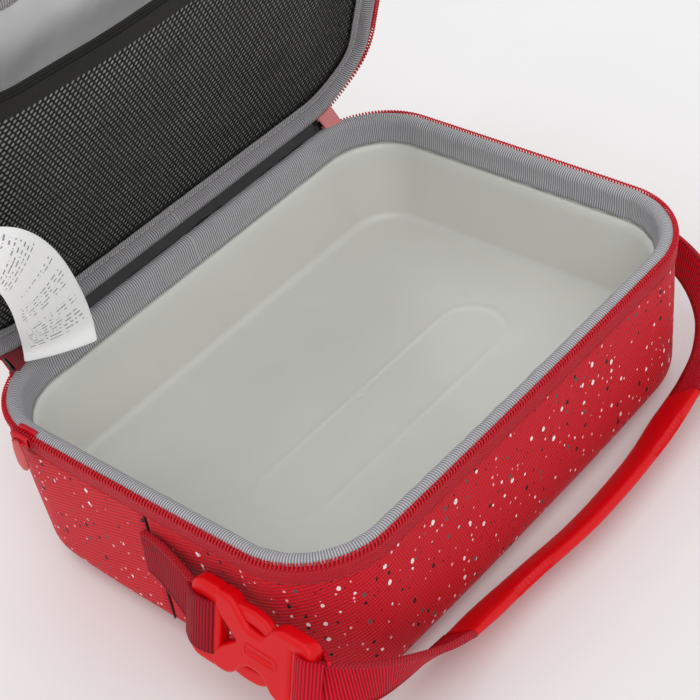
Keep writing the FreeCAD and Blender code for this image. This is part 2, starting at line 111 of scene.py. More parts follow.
def trace(s):
    """Points, outward normals and side weights on the rim outline at arc lengths s, which run
    counter-clockwise seen from above, from the middle of the back. The back stands in by a
    little, which leaves room for the cloth when the lid lies right back."""
    s = np.mod(np.asarray(s, float), PERIMETER)
    x, y, nx, ny = (np.zeros_like(s) for _ in range(4))
    lengths = [CX, ARC, 2 * CY, ARC, 2 * CX, ARC, 2 * CY, ARC, CX]
    starts = np.concatenate([[0], np.cumsum(lengths)])
    straight = {0: (0, HALF_Y, -1, 0), 2: (-HALF_X, CY, 0, -1), 4: (-CX, -HALF_Y, 1, 0),
                6: (HALF_X, -CY, 0, 1), 8: (CX, HALF_Y, -1, 0)}
    centres = {1: (-CX, CY, 90), 3: (-CX, -CY, 180), 5: (CX, -CY, 270), 7: (CX, CY, 0)}
    for index in range(len(lengths)):
        here = (s >= starts[index]) & (s <= starts[index + 1])
        t = s[here] - starts[index]
        if index in straight:
            x0, y0, dx, dy = straight[index]
            x[here], y[here] = x0 + dx * t, y0 + dy * t
            nx[here], ny[here] = dy, -dx
        else:
            x0, y0, angle = centres[index]
            a = math.radians(angle) + t / CORNER
            x[here], y[here] = x0 + CORNER * np.cos(a), y0 + CORNER * np.sin(a)
            nx[here], ny[here] = np.cos(a), np.sin(a)
    y = y - BACK_INSET * np.clip(ny, 0, 1) ** 2
    long_side = (1 - (x / HALF_X) ** 2) * np.clip(-ny, 0, 1)
    short_side = (1 - (y / HALF_Y) ** 2) * np.abs(nx)
    return x, y, nx, ny, long_side, short_side


def back_share(s):
    """1 on the back, where the bindings are plumper, and 0 on the other sides."""
    return np.clip(trace(s)[3], 0, 1)[None] ** 2


def tub_swell(z, long_side, short_side):
    """How far the soft wall stands out of the straight CAD wall at height z."""
    t = np.clip((RIM - z) / (RIM - BASE_ROUND), 0, 1)
    long_bow = (1.2 + 1.3 * t) * MM * long_side
    short_bow = (0.6 + 3.4 * t) * MM * short_side
    return long_bow + short_bow - 3.4 * MM * t


def wrap(s, out, z, swell=None):
    """A (rows, stations, 3) grid: rows are profile points (out, z) carried round the outline."""
    x, y, nx, ny, long_side, short_side = trace(s)
    out = np.asarray(out, float)
    z = np.asarray(z, float)
    out = out[:, None] if out.ndim == 1 else out
    z = z[:, None] if z.ndim == 1 else z
    out = out + (swell or rim_swell)(z, long_side, short_side)
    z = z + 0 * out
    return np.stack([x + nx * out, y + ny * out, z], axis=-1)


def rim_swell(z, long_side, short_side):
    return tub_swell(RIM, long_side, short_side) + 0 * z


def lid_swell(z, long_side, short_side):
    """The lid's rim follows the tub's, but its short sides flare out a little."""
    return tub_swell(RIM, long_side, short_side) + LID_FLARE * step(0.0, 0.5, short_side) + 0 * z


def around(spacing):
    """Arc lengths of a whole loop round the outline, about that far apart."""
    count = int(round(PERIMETER / spacing))
    return np.arange(count) * PERIMETER / count


def open_lid(points):
    """Swing points of the closed lid to where the lid stands open."""
    shifted = points - np.array(HINGE)
    c, s = math.cos(-LID_ANGLE), math.sin(-LID_ANGLE)
    y = shifted[..., 1] * c - shifted[..., 2] * s
    z = shifted[..., 1] * s + shifted[..., 2] * c
    return np.stack([shifted[..., 0], y, z], axis=-1) + np.array(HINGE)


def smooth_path(points, steps):
    """Catmull-Rom curve through rows of numbers, steps samples a span."""
    rows = np.asarray(points, float)
    rows = np.vstack([2 * rows[0] - rows[1], rows, 2 * rows[-1] - rows[-2]])
    out = []
    for i in range(1, len(rows) - 2):
        a, b, c, d = rows[i - 1:i + 3]
        for t in np.linspace(0, 1, steps, endpoint=False):
            out.append(0.5 * (2 * b + (c - a) * t + (2 * a - 5 * b + 4 * c - d) * t * t
                              + (3 * b - a - 3 * c + d) * t ** 3))
    out.append(rows[-2])
    return np.array(out)


def unit(rows):
    return rows / np.linalg.norm(rows, axis=1)[:, None]


def inward(ring, shares):
    """Copies of a ring of points drawn in level towards the middle by shares of its size."""
    return np.array([ring * [1 - share, 1 - share, 1] for share in shares])


def distances(points):
    """Distance travelled down a row of points, at each of them."""
    return np.concatenate([[0], np.cumsum(np.linalg.norm(np.diff(points, axis=0), axis=1))])


# ------------------------------------------------------------------ mesh helpers

def linked(name, data):
    """A new object for some data, put into the scene."""
    obj = bpy.data.objects.new(name, data)
    bpy.context.scene.collection.objects.link(obj)
    return obj


def mesh_object(name, verts, faces, uvs=None):
    mesh = bpy.data.meshes.new(name)
    mesh.from_pydata([tuple(v) for v in verts], [], [tuple(f) for f in faces])
    mesh.update()
    if uvs is not None:
        layer = mesh.uv_layers.new(name="cloth")
        layer.data.foreach_set("uv", np.asarray(uvs, np.float32).reshape(-1))
    mesh.polygons.foreach_set("use_smooth", [True] * len(mesh.polygons))
    return linked(name, mesh)


def flat_panel_uv(obj, plan, first):
    """Lay the cloth straight on the part of a grid from the vertex called first on: plan holds the
    x and y of every vertex there when the panel lies flat."""
    layer = obj.data.uv_layers["cloth"].data
    for face in obj.data.polygons:
        if min(face.vertices) >= first:
            for loop in face.loop_indices:
                layer[loop].uv = plan[obj.data.loops[loop].vertex_index - first]


def grid_object(name, points, closed=False, u=None, v=None, flip=False, cap=False):
    """A surface over a (rows, columns, 3) grid; the columns join up when closed, and a cap closes
    the last row. Its UVs are metres."""
    rows, cols = points.shape[:2]
    u = distances(points[rows // 2]) if u is None else u
    v = distances(points[:, cols // 3]) if v is None else v
    faces = []
    uvs = []
    span = cols if closed else cols - 1
    turn = u[-1] + (u[1] - u[0])

    def add_face(corners):
        corners = corners[::-1] if flip else corners
        faces.append([corner[0] for corner in corners])
        uvs.extend([corner[1:] for corner in corners])

    for r in range(rows - 1):
        for c in range(span):
            d = (c + 1) % cols
            u1 = turn if d < c else u[d]
            add_face([(r * cols + c, u[c], v[r]), (r * cols + d, u1, v[r]),
                      ((r + 1) * cols + d, u1, v[r + 1]), ((r + 1) * cols + c, u[c], v[r + 1])])
    verts = points.reshape(-1, 3)
    if cap:
        verts = np.vstack([verts, points[-1].mean(0)])
        last = (rows - 1) * cols
        for c in range(span):
            add_face([(last + c, u[c], v[-1]), (last + (c + 1) % cols, u[c], v[-1]),
                      (rows * cols, u[c], v[-1])])
    return mesh_object(name, verts, faces, uvs)


def thicken(obj, amount, offset=-1.0):
    solid = obj.modifiers.new("thickness", "SOLIDIFY")
    solid.thickness = amount
    solid.offset = offset
    solid.use_even_offset = True
    return obj


def soften(obj):
    sub = obj.modifiers.new("smooth", "SUBSURF")
    sub.levels = 1
    sub.render_levels = 1


def tube_along(path, radius, sides, closed=False, up=(0, 0, 1)):
    """Vertices and faces of a round tube about a path."""
    path = np.asarray(path, float)
    count = len(path)
    if closed:
        tangent = np.roll(path, -1, 0) - np.roll(path, 1, 0)
    else:
        tangent = np.gradient(path, axis=0)
    tangent = unit(tangent)
    side = unit(np.cross(tangent, np.array(up, float)))
    lift = np.cross(side, tangent)
    angles = np.arange(sides) * 2 * math.pi / sides
    rings = path[None] + radius * (np.cos(angles)[:, None, None] * side[None]
                                   + np.sin(angles)[:, None, None] * lift[None])
    verts = rings.transpose(1, 0, 2).reshape(-1, 3)
    faces = []
    for i in range(count if closed else count - 1):
        j = (i + 1) % count
        for k in range(sides):
            m = (k + 1) % sides
            faces.append((i * sides + k, i * sides + m, j * sides + m, j * sides + k))
    if not closed:
        faces.append(tuple(range(sides))[::-1])
        faces.append(tuple(range((count - 1) * sides, count * sides)))
    return verts, faces


def joined(name, parts):
    """One object out of many (verts, faces) pairs."""
    verts = []
    faces = []
    base = 0
    for part_verts, part_faces in parts:
        verts.append(np.asarray(part_verts))
        faces.extend([tuple(i + base for i in face) for face in part_faces])
        base += len(part_verts)
    return mesh_object(name, np.vstack(verts), faces)


def place(obj, body, nodes, material):
    """Gives a finished piece its material and hides the CAD nodes it stands for. It rides on
    body, unless body is None: then it is left on no body."""
    obj.data.materials.append(material)
    if body:
        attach(obj, body)
    if nodes:
        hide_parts(*nodes)


# ------------------------------------------------------------------ material helpers

class Graph:
    """A material's node tree with short calls for the nodes used here."""

    def __init__(self, name):
        self.material = bpy.data.materials.new(name)
        self.material.use_nodes = True
        self.tree = self.material.node_tree
        self.shader = next(n for n in self.tree.nodes if n.type == "BSDF_PRINCIPLED")

    def node(self, kind, **values):
        item = self.tree.nodes.new(kind)
        for key, value in values.items():
            setattr(item, key, value)
        return item

    def wire(self, value, socket):
        if isinstance(value, bpy.types.NodeSocket):
            self.tree.links.new(value, socket)
        else:
            socket.default_value = value

    def math(self, operation, a, b=0.0, c=0.0):
        item = self.node("ShaderNodeMath", operation=operation)
        for value, socket in zip((a, b, c), item.inputs):
            self.wire(value, socket)
        return item.outputs[0]

    def mix(self, factor, a, b):
        item = self.node("ShaderNodeMix", data_type="RGBA")
        self.wire(factor, item.inputs[0])
        self.wire(a, item.inputs[6])
        self.wire(b, item.inputs[7])
        return item.outputs[2]

    def cloth_uv(self):
        item = self.node("ShaderNodeUVMap", uv_map="cloth")
        split = self.node("ShaderNodeSeparateXYZ")
        self.tree.links.new(item.outputs[0], split.inputs[0])
        return split.outputs[0], split.outputs[1]

    def vector(self, x, y, z=0.0):
        item = self.node("ShaderNodeCombineXYZ")
        for value, socket in zip((x, y, z), item.inputs):
            self.wire(value, socket)
        return item.outputs[0]

    def object_space(self):
        return self.node("ShaderNodeTexCoord").outputs["Object"]

    def noise(self, vector, scale, detail=2.0, rough=0.5):
        item = self.node("ShaderNodeTexNoise")
        self.wire(vector, item.inputs["Vector"])
        item.inputs["Scale"].default_value = scale
        item.inputs["Detail"].default_value = detail
        item.inputs["Roughness"].default_value = rough
        return item.outputs["Fac"]

    def cells(self, vector, scale, flat=False):
        item = self.node("ShaderNodeTexVoronoi", voronoi_dimensions="2D" if flat else "3D")
        self.wire(vector, item.inputs["Vector"])
        item.inputs["Scale"].default_value = scale
        return item.outputs["Distance"], item.outputs["Color"]

    def wave(self, value, pitch):
        """A sine of the given pitch in metres, from 0 to 1."""
        turned = self.math("MULTIPLY_ADD", value, 2 * math.pi / pitch)
        return self.math("MULTIPLY_ADD", self.math("SINE", turned), 0.5, 0.5)

    def bump(self, height, distance, strength=1.0):
        item = self.node("ShaderNodeBump")
        item.inputs["Distance"].default_value = distance
        item.inputs["Strength"].default_value = strength
        self.wire(height, item.inputs["Height"])
        return item.outputs[0]

    def finish(self, colour, roughness, normal=None, **values):
        self.wire(colour, self.shader.inputs["Base Color"])
        self.wire(roughness, self.shader.inputs["Roughness"])
        if normal is not None:
            self.wire(normal, self.shader.inputs["Normal"])
        for key, value in values.items():
            self.shader.inputs[key.replace("_", " ")].default_value = value
        return self.material


def cloth_graph(name):
    """A new graph with the cloth's own two directions, in metres."""
    graph = Graph(name)
    return graph, *graph.cloth_uv()


def solid_graph(name):
    """A new graph with the object's own space, for materials that have no direction."""
    graph = Graph(name)
    return graph, graph.object_space()


def rgb(red, green, blue):
    """Linear colour, with alpha, from eight-bit screen values."""
    def linear(value):
        value /= 255.0
        return value / 12.92 if value <= 0.04045 else ((value + 0.055) / 1.055) ** 2.4
    return (linear(red), linear(green), linear(blue), 1.0)


def twill(graph, u, v, pitch):
    """Height of a fine twill: slanted ribs broken by the crossing threads."""
    slant = graph.math("MULTIPLY_ADD", u, 0.32, v)
    rib = graph.wave(slant, pitch)
    thread = graph.wave(graph.math("MULTIPLY_ADD", v, -0.35, u), pitch * 0.75)
    return graph.math("MULTIPLY_ADD", thread, 0.35, graph.math("MULTIPLY", rib, 0.65))


def speckles(graph, u, v, base, layers):
    """Paint specks over a colour: each layer is a cell size, a spot size, the share of cells that
    carry a spot, a colour, a shift, and how far the spots are drawn out upward."""
    jitter = graph.noise(graph.vector(u, v), 1300.0, 1.0)
    for cell, size, share, colour, shift, stretch in layers:
        spot = graph.vector(graph.math("ADD", u, shift), graph.math("MULTIPLY", v, stretch))
        distance, random = graph.cells(spot, 1 / cell, True)
        split = graph.node("ShaderNodeSeparateColor")
        graph.wire(random, split.inputs[0])
        chosen = graph.math("LESS_THAN", split.outputs[0], share)
        limit = size / cell / 2
        radius = graph.math("MULTIPLY_ADD", split.outputs[1], limit * 0.8, limit * 0.55)
        edge = graph.math("MULTIPLY_ADD", jitter, limit * 0.7, distance)
        inside = graph.math("LESS_THAN", edge, graph.math("ADD", radius, limit * 0.3))
        base = graph.mix(graph.math("MULTIPLY", chosen, inside), base, colour)
    return base


def red_cloth():
    graph, u, v = cloth_graph("speckled_polyester")
    weave = twill(graph, u, v, 1.9 * MM)
    place_on = graph.vector(u, v)
    cloud = graph.noise(place_on, 22.0, 3.0)
    base = graph.mix(weave, rgb(160, 3, 22), rgb(234, 20, 42))
    base = graph.mix(graph.math("MULTIPLY", cloud, 0.25), base, rgb(190, 8, 32))
    base = speckles(graph, u, v, base, (
        (7.0 * MM, 1.6 * MM, 0.27, rgb(250, 240, 240), 0.0, 0.75),
        (3.2 * MM, 1.0 * MM, 0.13, rgb(240, 188, 192), 0.31, 0.8),
        (6.0 * MM, 1.6 * MM, 0.20, rgb(26, 14, 20), 0.57, 0.75),
        (6.6 * MM, 1.5 * MM, 0.18, rgb(84, 88, 90), 0.83, 0.8),
        (2.2 * MM, 0.7 * MM, 0.10, rgb(58, 10, 20), 0.43, 0.8)))
    normal = graph.bump(weave, 0.34 * MM, 0.8)
    return graph.finish(base, 0.6, normal, Sheen_Weight=0.04, Sheen_Roughness=0.4,
                        Specular_IOR_Level=0.22)


def tape_cloth():
    graph, u, v = cloth_graph("zip_tape_herringbone")
    fold = graph.math("PINGPONG", v, 2.6 * MM)
    rib = graph.wave(graph.math("MULTIPLY_ADD", fold, 1.3, u), 1.25 * MM)
    base = graph.mix(rib, rgb(140, 4, 22), rgb(222, 18, 42))
    normal = graph.bump(rib, 0.25 * MM, 0.9)
    return graph.finish(base, 0.6, normal, Sheen_Weight=0.04, Specular_IOR_Level=0.22)


def webbing_cloth(name, dark, light):
    graph, u, v = cloth_graph(name)
    rib = graph.math("POWER", graph.wave(u, 1.35 * MM), 0.7)
    thread = graph.wave(v, 0.6 * MM)
    height = graph.math("MULTIPLY_ADD", thread, 0.12, graph.math("MULTIPLY", rib, 0.88))
    base = graph.mix(rib, dark, light)
    worn = graph.noise(graph.vector(u, v), 60.0, 2.0)
    base = graph.mix(graph.math("MULTIPLY", worn, 0.25), base, light)
    normal = graph.bump(height, 0.45 * MM, 1.0)
    return graph.finish(base, 0.6, normal, Specular_IOR_Level=0.16)


def braided_edge():
    graph, u, v = cloth_graph("braided_edge")
    twist = graph.wave(graph.math("MULTIPLY_ADD", v, 0.9, u), 1.5 * MM)
    cross = graph.wave(graph.math("MULTIPLY_ADD", v, -0.9, u), 1.5 * MM)
    height = graph.math("MAXIMUM", twist, cross)
    base = graph.mix(height, rgb(96, 2, 16), rgb(206, 16, 40))
    return graph.finish(base, 0.55, graph.bump(height, 0.5 * MM), Sheen_Weight=0.04,
                        Specular_IOR_Level=0.25)


def grosgrain(name, dark, light, pitch):
    graph, u, v = cloth_graph(name)
    rib = graph.wave(u, pitch)
    cloud = graph.noise(graph.vector(u, v), 90.0, 3.0)
    base = graph.mix(rib, dark, light)
    base = graph.mix(graph.math("MULTIPLY", cloud, 0.3), base, dark)
    height = graph.math("MULTIPLY_ADD", graph.wave(v, 0.5 * MM), 0.2, rib)
    return graph.finish(base, 0.6, graph.bump(height, 0.4 * MM, 0.9), Sheen_Weight=0.1,
                        Specular_IOR_Level=0.3)


def moulded(name, colour, roughness, grain=0.04, coat=0.0, shine=0.5):
    """Moulded plastic or rubber with a very fine grain and faint tone changes."""
    graph, where = solid_graph(name)
    fine = graph.noise(where, 2600.0, 2.0)
    broad = graph.noise(where, 35.0, 2.0)
    darker = tuple(0.86 * c for c in colour[:3]) + (1.0,)
    base = graph.mix(graph.math("MULTIPLY", broad, 0.5), colour, darker)
    normal = graph.bump(fine, grain * MM, 0.6)
    rough = graph.math("MULTIPLY_ADD", broad, 0.08, roughness - 0.04)
    return graph.finish(base, rough, normal, Coat_Weight=coat, Coat_Roughness=0.2,
                        Specular_IOR_Level=shine)


def black_cloth(name, pitch):
    graph, u, v = cloth_graph(name)
    rib = graph.wave(v, pitch)
    thread = graph.wave(u, pitch * 0.8)
    height = graph.math("MULTIPLY_ADD", thread, 0.5, rib)
    base = graph.mix(rib, rgb(12, 12, 11), rgb(46, 45, 42))
    return graph.finish(base, 0.6, graph.bump(height, 0.25 * MM), Specular_IOR_Level=0.25)


def net_yarn():
    graph, where = solid_graph("net_yarn")
    fibre = graph.noise(where, 1500.0, 2.0)
    base = graph.mix(fibre, rgb(10, 10, 9), rgb(34, 33, 30))
    return graph.finish(base, 0.62, graph.bump(fibre, 0.1 * MM), Specular_IOR_Level=0.25)


def foil_lining():
    graph, where = solid_graph("foil_lining")
    crease_and_shade = graph.noise(where, 17.0, 2.0, 0.45)
    fine = graph.noise(where, 420.0, 2.0)
    # Painted shade and highlights: the foil is darker in the crease hollows and lighter on the crests.
    base = graph.mix(crease_and_shade, rgb(206, 206, 207), rgb(250, 250, 251))
    height = graph.math("MULTIPLY_ADD", fine, 0.02, crease_and_shade)
    normal = graph.bump(height, 2.5 * MM, 0.4)
    return graph.finish(base, 0.36, normal, Metallic=0.1, Specular_IOR_Level=0.6)


def dark_sheet():
    graph, where = solid_graph("coated_lining")
    crease_and_shade = graph.noise(where, 60.0, 3.0)
    # Painted shade and sheen: the lining is darker in the crease hollows and lighter on the crests.
    base = graph.mix(crease_and_shade, rgb(6, 6, 6), rgb(26, 25, 24))
    return graph.finish(base, 0.2, graph.bump(crease_and_shade, 3.0 * MM, 0.9), Specular_IOR_Level=0.5)


def satin_label():
    """White satin with blocks of plain dashes in rows, which stand for print."""
    graph, u, v = cloth_graph("satin_label")
    row = graph.math("PINGPONG", u, 1.25 * MM)
    in_row = graph.math("LESS_THAN", row, 0.38 * MM)
    dash, _ = graph.cells(graph.vector(graph.math("MULTIPLY", u, 0.3), v), 620.0, True)
    marks = graph.math("GREATER_THAN", dash, 0.42)
    block = graph.noise(graph.vector(u, graph.math("MULTIPLY", v, 0.1)), 70.0, 1.0)
    printed = graph.math("GREATER_THAN", block, 0.48)
    off_centre = graph.math("ABSOLUTE", graph.math("SUBTRACT", v, LABEL_HALF))
    inside = graph.math("LESS_THAN", off_centre, 12.5 * MM)
    ink = graph.math("MULTIPLY", graph.math("MULTIPLY", in_row, marks),
                     graph.math("MULTIPLY", printed, inside))
    weave = graph.wave(v, 0.5 * MM)
    base = graph.mix(ink, rgb(254, 254, 254), rgb(140, 140, 146))
    return graph.finish(base, 0.45, graph.bump(weave, 0.06 * MM), Sheen_Weight=0.2)


def foam_block():
    graph, where = solid_graph("closed_cell_foam")
    cell, _ = graph.cells(where, 900.0)
    base = graph.mix(cell, rgb(206, 206, 200), rgb(232, 232, 228))
    return graph.finish(base, 0.85, graph.bump(cell, 0.3 * MM))


def thread_material(name, colour):
    graph, where = solid_graph(name)
    strand = graph.noise(where, 1800.0, 2.0)
    dark = tuple(0.6 * c for c in colour[:3]) + (1.0,)
    return graph.finish(graph.mix(strand, dark, colour), 0.5, graph.bump(strand, 0.08 * MM))


RED_CLOTH = red_cloth()
TAPE = tape_cloth()
WEBBING = webbing_cloth("ribbed_webbing", rgb(118, 2, 20), rgb(226, 12, 42))
# Painted shade: the anchor tab and its loop round the buckle bar use a darker copy of the strap webbing.
SHADED_TAB_WEBBING = webbing_cloth("ribbed_webbing_painted_shade", rgb(92, 2, 16), rgb(176, 10, 34))
BRAID = braided_edge()
BINDING = grosgrain("grey_grosgrain", rgb(122, 121, 126), rgb(216, 215, 219), 1.2 * MM)
# Painted shade: the lid's binding is a darker copy of the tub's grey grosgrain.
SHADED_LID_BINDING = grosgrain("lid_grosgrain_painted_shade", rgb(104, 102, 106), rgb(196, 194, 198), 1.2 * MM)
LINER = moulded("liner_plastic", rgb(219, 219, 213), 0.25, 0.006, 0.2)
RED_PLASTIC = moulded("buckle_plastic", rgb(216, 2, 14), 0.34, 0.03, shine=0.24)
RED_COIL = moulded("coil_nylon", rgb(204, 8, 32), 0.36, 0.02, shine=0.35)
GRIP_RUBBER = moulded("grip_rubber", rgb(216, 6, 18), 0.42, 0.05, shine=0.28)
PULL_RUBBER = moulded("puller_rubber", rgb(206, 84, 84), 0.5, 0.05)
PINK_TAPE = grosgrain("pink_tape", rgb(236, 124, 128), rgb(255, 176, 176), 0.9 * MM)
DARK_RED_TAPE = grosgrain("dark_red_tape", rgb(112, 6, 20), rgb(160, 16, 36), 0.8 * MM)
ELASTIC = black_cloth("ribbed_elastic", 1.1 * MM)
NET = net_yarn()
FOIL = foil_lining()
DARK = dark_sheet()
SATIN = satin_label()
FOAM = foam_block()
RED_THREAD = thread_material("red_thread", rgb(212, 14, 40))
GREY_THREAD = thread_material("grey_thread", rgb(205, 205, 200))
SEAM_THREAD = thread_material("seam_thread", rgb(44, 3, 10))

# ------------------------------------------------------------------ tub


def arc_profile(centre_out, centre_z, radius, start, end, count):
    """Profile points on an arc: angle 0 points outward, 90 degrees points up."""
    angles = np.radians(np.linspace(start, end, count))
    return centre_out + radius * np.cos(angles), centre_z + radius * np.sin(angles)


def tub_fabric():
    """The tub's printed outer cloth in three panels: front half, rear half and bottom."""
    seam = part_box("front_gusset")[1].y
    s = around(2.0 * MM)
    top = RIM - 9.0 * MM
    z_wall = np.linspace(top, BASE_ROUND, 22)
    out_round, z_round = arc_profile(-BASE_ROUND, BASE_ROUND, BASE_ROUND, 0, -88, 14)
    z = np.concatenate([z_wall, z_round[1:]])
    out = np.concatenate([np.zeros_like(z_wall), out_round[1:]])
    x, y = trace(s)[:2]
    slack = 0.35 * MM * ripple(s[None], z[:, None], 0.09, 11) * (z[:, None] > 4 * MM)
    groove = np.exp(-((y[None] - seam) / (1.3 * MM)) ** 2) * (np.abs(x[None]) > CX)
    seam_depth = 1.1 * MM * groove * step(8 * MM, 20 * MM, z[:, None])
    points = wrap(s, out[:, None] + slack - seam_depth, z, tub_swell)
    fabric = grid_object("tub_gusset_cloth", points, True, s)
    thicken(fabric, CLOTH_THICK, 1.0)
    place(fabric, "root", ("front_gusset", "rear_gusset"), RED_CLOTH)

    inner = points[-1]
    base = np.array([inner - inner * [f, f, 0] for f in np.linspace(0, 0.97, 9)])
    rise = 0.15 * MM * step(0.0, 1.0, np.linspace(0, 1, 9))[:, None]
    base[..., 2] = np.clip(inner[None, :, 2], 0.0, None) + rise
    bottom = grid_object("tub_bottom_cloth", base, True, s, np.linspace(0, 0.09, 9), cap=True)
    flat_panel_uv(bottom, np.vstack([base[..., :2].reshape(-1, 2), base[-1, :, :2].mean(0)]), 0)
    thicken(bottom, CLOTH_THICK, 1.0)
    place(bottom, "root", ("bottom_panel",), RED_CLOTH)

    seams = []
    for side in (-1, 1):
        zs = np.linspace(11 * MM, top - 1 * MM, 30)
        swell = tub_swell(zs, 0.0, 1.0)
        path = np.stack([side * (HALF_X + swell - 0.3 * MM), np.full_like(zs, seam), zs], axis=-1)
        seams.append(tube_along(path, 0.5 * MM, 6, up=(0, 1, 0)))
    place(joined("side_seam_thread", seams), "root", (), SEAM_THREAD)


def tub_foam():
    s = around(4.0 * MM)
    out = np.array([-1.2, -8.0, -8.0, -1.2, -1.2]) * MM
    z = np.array([BASE_ROUND, BASE_ROUND, LINER_TOP - 2 * MM, LINER_TOP - 2 * MM, BASE_ROUND])
    side = grid_object("tub_side_foam", wrap(s, out, z, tub_swell), True, s)
    place(side, "root", ("side_foam",), FOAM)
    curve_out, curve_z = arc_profile(-BASE_ROUND, BASE_ROUND, BASE_ROUND - 1.2 * MM, 0, -88, 10)
    out = np.concatenate([[-90 * MM, -8.0 * MM, -8.0 * MM], curve_out, [-90 * MM]])
    z = np.concatenate([[LINER_FLOOR - 1.8 * MM] * 2, [BASE_ROUND], curve_z, [1.2 * MM]])
    block = grid_object("tub_bottom_foam", wrap(s, out, z, tub_swell), True, s)
    place(block, "root", ("bottom_foam",), FOAM)


def liner():
    """The moulded inner tray, with its rolled lip and a plain raised border on the floor."""
    s = around(2.5 * MM)
    draft = math.tan(math.radians(7))
    lip_out, lip_z = arc_profile(-9.0 * MM, LINER_TOP - 0.9 * MM, 1.1 * MM, 120, -20, 8)
    wall_z = np.linspace(LINER_TOP - 3.0 * MM, LINER_FLOOR + 5.4 * MM, 9)
    wall_out = -9.6 * MM - (LINER_TOP - wall_z) * draft
    foot_out, foot_z = arc_profile(wall_out[-1] - 5.4 * MM, LINER_FLOOR + 5.6 * MM, 5.5 * MM, -6, -90, 12)
    out = np.concatenate([[-6.9 * MM, -7.6 * MM], lip_out, wall_out, foot_out[1:]])
    z = np.concatenate([[LINER_TOP - 1.6 * MM, LINER_TOP - 0.5 * MM], lip_z, wall_z, foot_z[1:]])
    points = wrap(s, out, z)
    fractions = np.append(np.linspace(0, 0.985, 64)[1:], 0.9998)
    floor = inward(points[-1], fractions)
    floor[..., 2] += plain_border(floor[..., 0], floor[..., 1])
    tray = grid_object("liner_tray", np.concatenate([points, floor]), True, s, flip=True)
    thicken(tray, 1.2 * MM)
    soften(tray)
    place(tray, "root", ("moulded_liner",), LINER)


def plain_border(x, y):
    """Height of a plain raised outline on the liner's floor: one bar with round ends."""
    half_x, half_y, radius, centre_y, ridge = (n * MM for n in (78, 17, 17, -14, 1.1))
    dx = np.maximum(np.abs(x) - (half_x - radius), 0)
    dy = np.maximum(np.abs(y - centre_y) - (half_y - radius), 0)
    inside = np.minimum(np.maximum(np.abs(x) - half_x, np.abs(y - centre_y) - half_y), 0)
    distance = np.where((dx > 0) | (dy > 0), np.hypot(dx, dy) - radius, inside)
    return 0.32 * MM * np.exp(-(distance / ridge) ** 2)


# ------------------------------------------------------------------ rims: binding, tape and coil

def rim_binding():
    s = around(1.6 * MM)
    roll_out, roll_z = arc_profile(-3.7 * MM, RIM - 3.1 * MM, 3.2 * MM, 185, -10, 14)
    out = np.concatenate([roll_out[::-1], np.array([-7.2, -7.6, -8.2, -8.7]) * MM])
    z = np.concatenate([roll_z[::-1], RIM - np.array([6.4, 8.0, 9.8, 11.6]) * MM])
    k = np.arange(len(out))[:, None]
    pucker = 0.3 * MM * ripple(s[None], k * 2 * MM, 0.016, 21) * step(2, 6, k)
    lift = HINGE_PLUMP * back_share(s) * step(RIM - 4.5 * MM, RIM, z)[:, None]
    points = wrap(s, out[:, None] + pucker, z[:, None] + lift + 0.2 * MM * ripple(s[None], 0 * k, 0.05, 22))
    binding = grid_object("tub_rim_binding", points, True, s)
    thicken(binding, 0.6 * MM, 1.0)
    place(binding, "root", ("rim_binding",), BINDING)


def rim_stations(s, out, z, lid):
    """Points at height z that stand out from the soft rim, with their outward and forward directions."""
    x, y, nx, ny, long_side, short_side = trace(s)
    out = out + (lid_swell if lid else rim_swell)(RIM, long_side, short_side)
    level = 0 * x
    outward = np.stack([nx, ny, level], axis=-1)
    return (np.stack([x, y, level + z], axis=-1) + outward * out[:, None], outward,
            np.stack([-ny, nx, level], axis=-1))


def stitch_row(name, s, out, z, lid, length=1.6 * MM, radius=0.22 * MM, slant=0.0):
    """A row of short raised stitches that follow the outline."""
    centre, _, forward = rim_stations(s, out, z, lid)
    parts = []
    for point, along in zip(centre, forward + [0, 0, slant]):
        path = np.array([point + along * length * f for f in (-0.5, -0.3, 0.0, 0.3, 0.5)])
        parts.append(tube_along(path, radius, 5))
    if lid:
        parts = [(open_lid(verts), faces) for verts, faces in parts]
    return joined(name, parts)


def coil(name, z_middle, lid):
    """The zip coil as separate nylon loops on the rim."""
    s = np.arange(COIL_START, COIL_END, COIL_PITCH)
    parts = []
    angles = np.arange(12) * 2 * math.pi / 12
    up = np.array([0, 0, -1 if lid else 1])
    for centre, normal, along in zip(*rim_stations(s, 0.1 * MM, z_middle, lid)):
        lean = along[None] * (0.36 * MM * np.sin(angles))[:, None]
        loop = (centre + normal * (1.0 * MM * np.cos(angles))[:, None]
                + up * (1.4 * MM * np.sin(angles))[:, None] + lean)
        verts, faces = tube_along(loop, 0.44 * MM, 6, True, up=along)
        parts.append((open_lid(verts) if lid else verts, faces))
    return joined(name, parts)


def zip_tape(name, z_edge, direction, lid):
    s = around(2.0 * MM)
    depth = np.array([1.2, 2.0, 3.2, 5.0, 7.0, 9.0, 10.4]) * MM
    out = np.array([-0.5, 0.1, 0.35, 0.3, 0.2, 0.15, -0.15]) * MM
    z = z_edge - direction * depth
    k = np.arange(len(out))[:, None]
    points = wrap(s, out[:, None] + 0.08 * MM * ripple(s[None], k * MM, 0.03, 31), z,
                  lid_swell if lid else rim_swell)
    if lid:
        points = open_lid(points)
    tape = grid_object(name, points, True, s, flip=not lid)
    return thicken(tape, 0.6 * MM, 0.0)


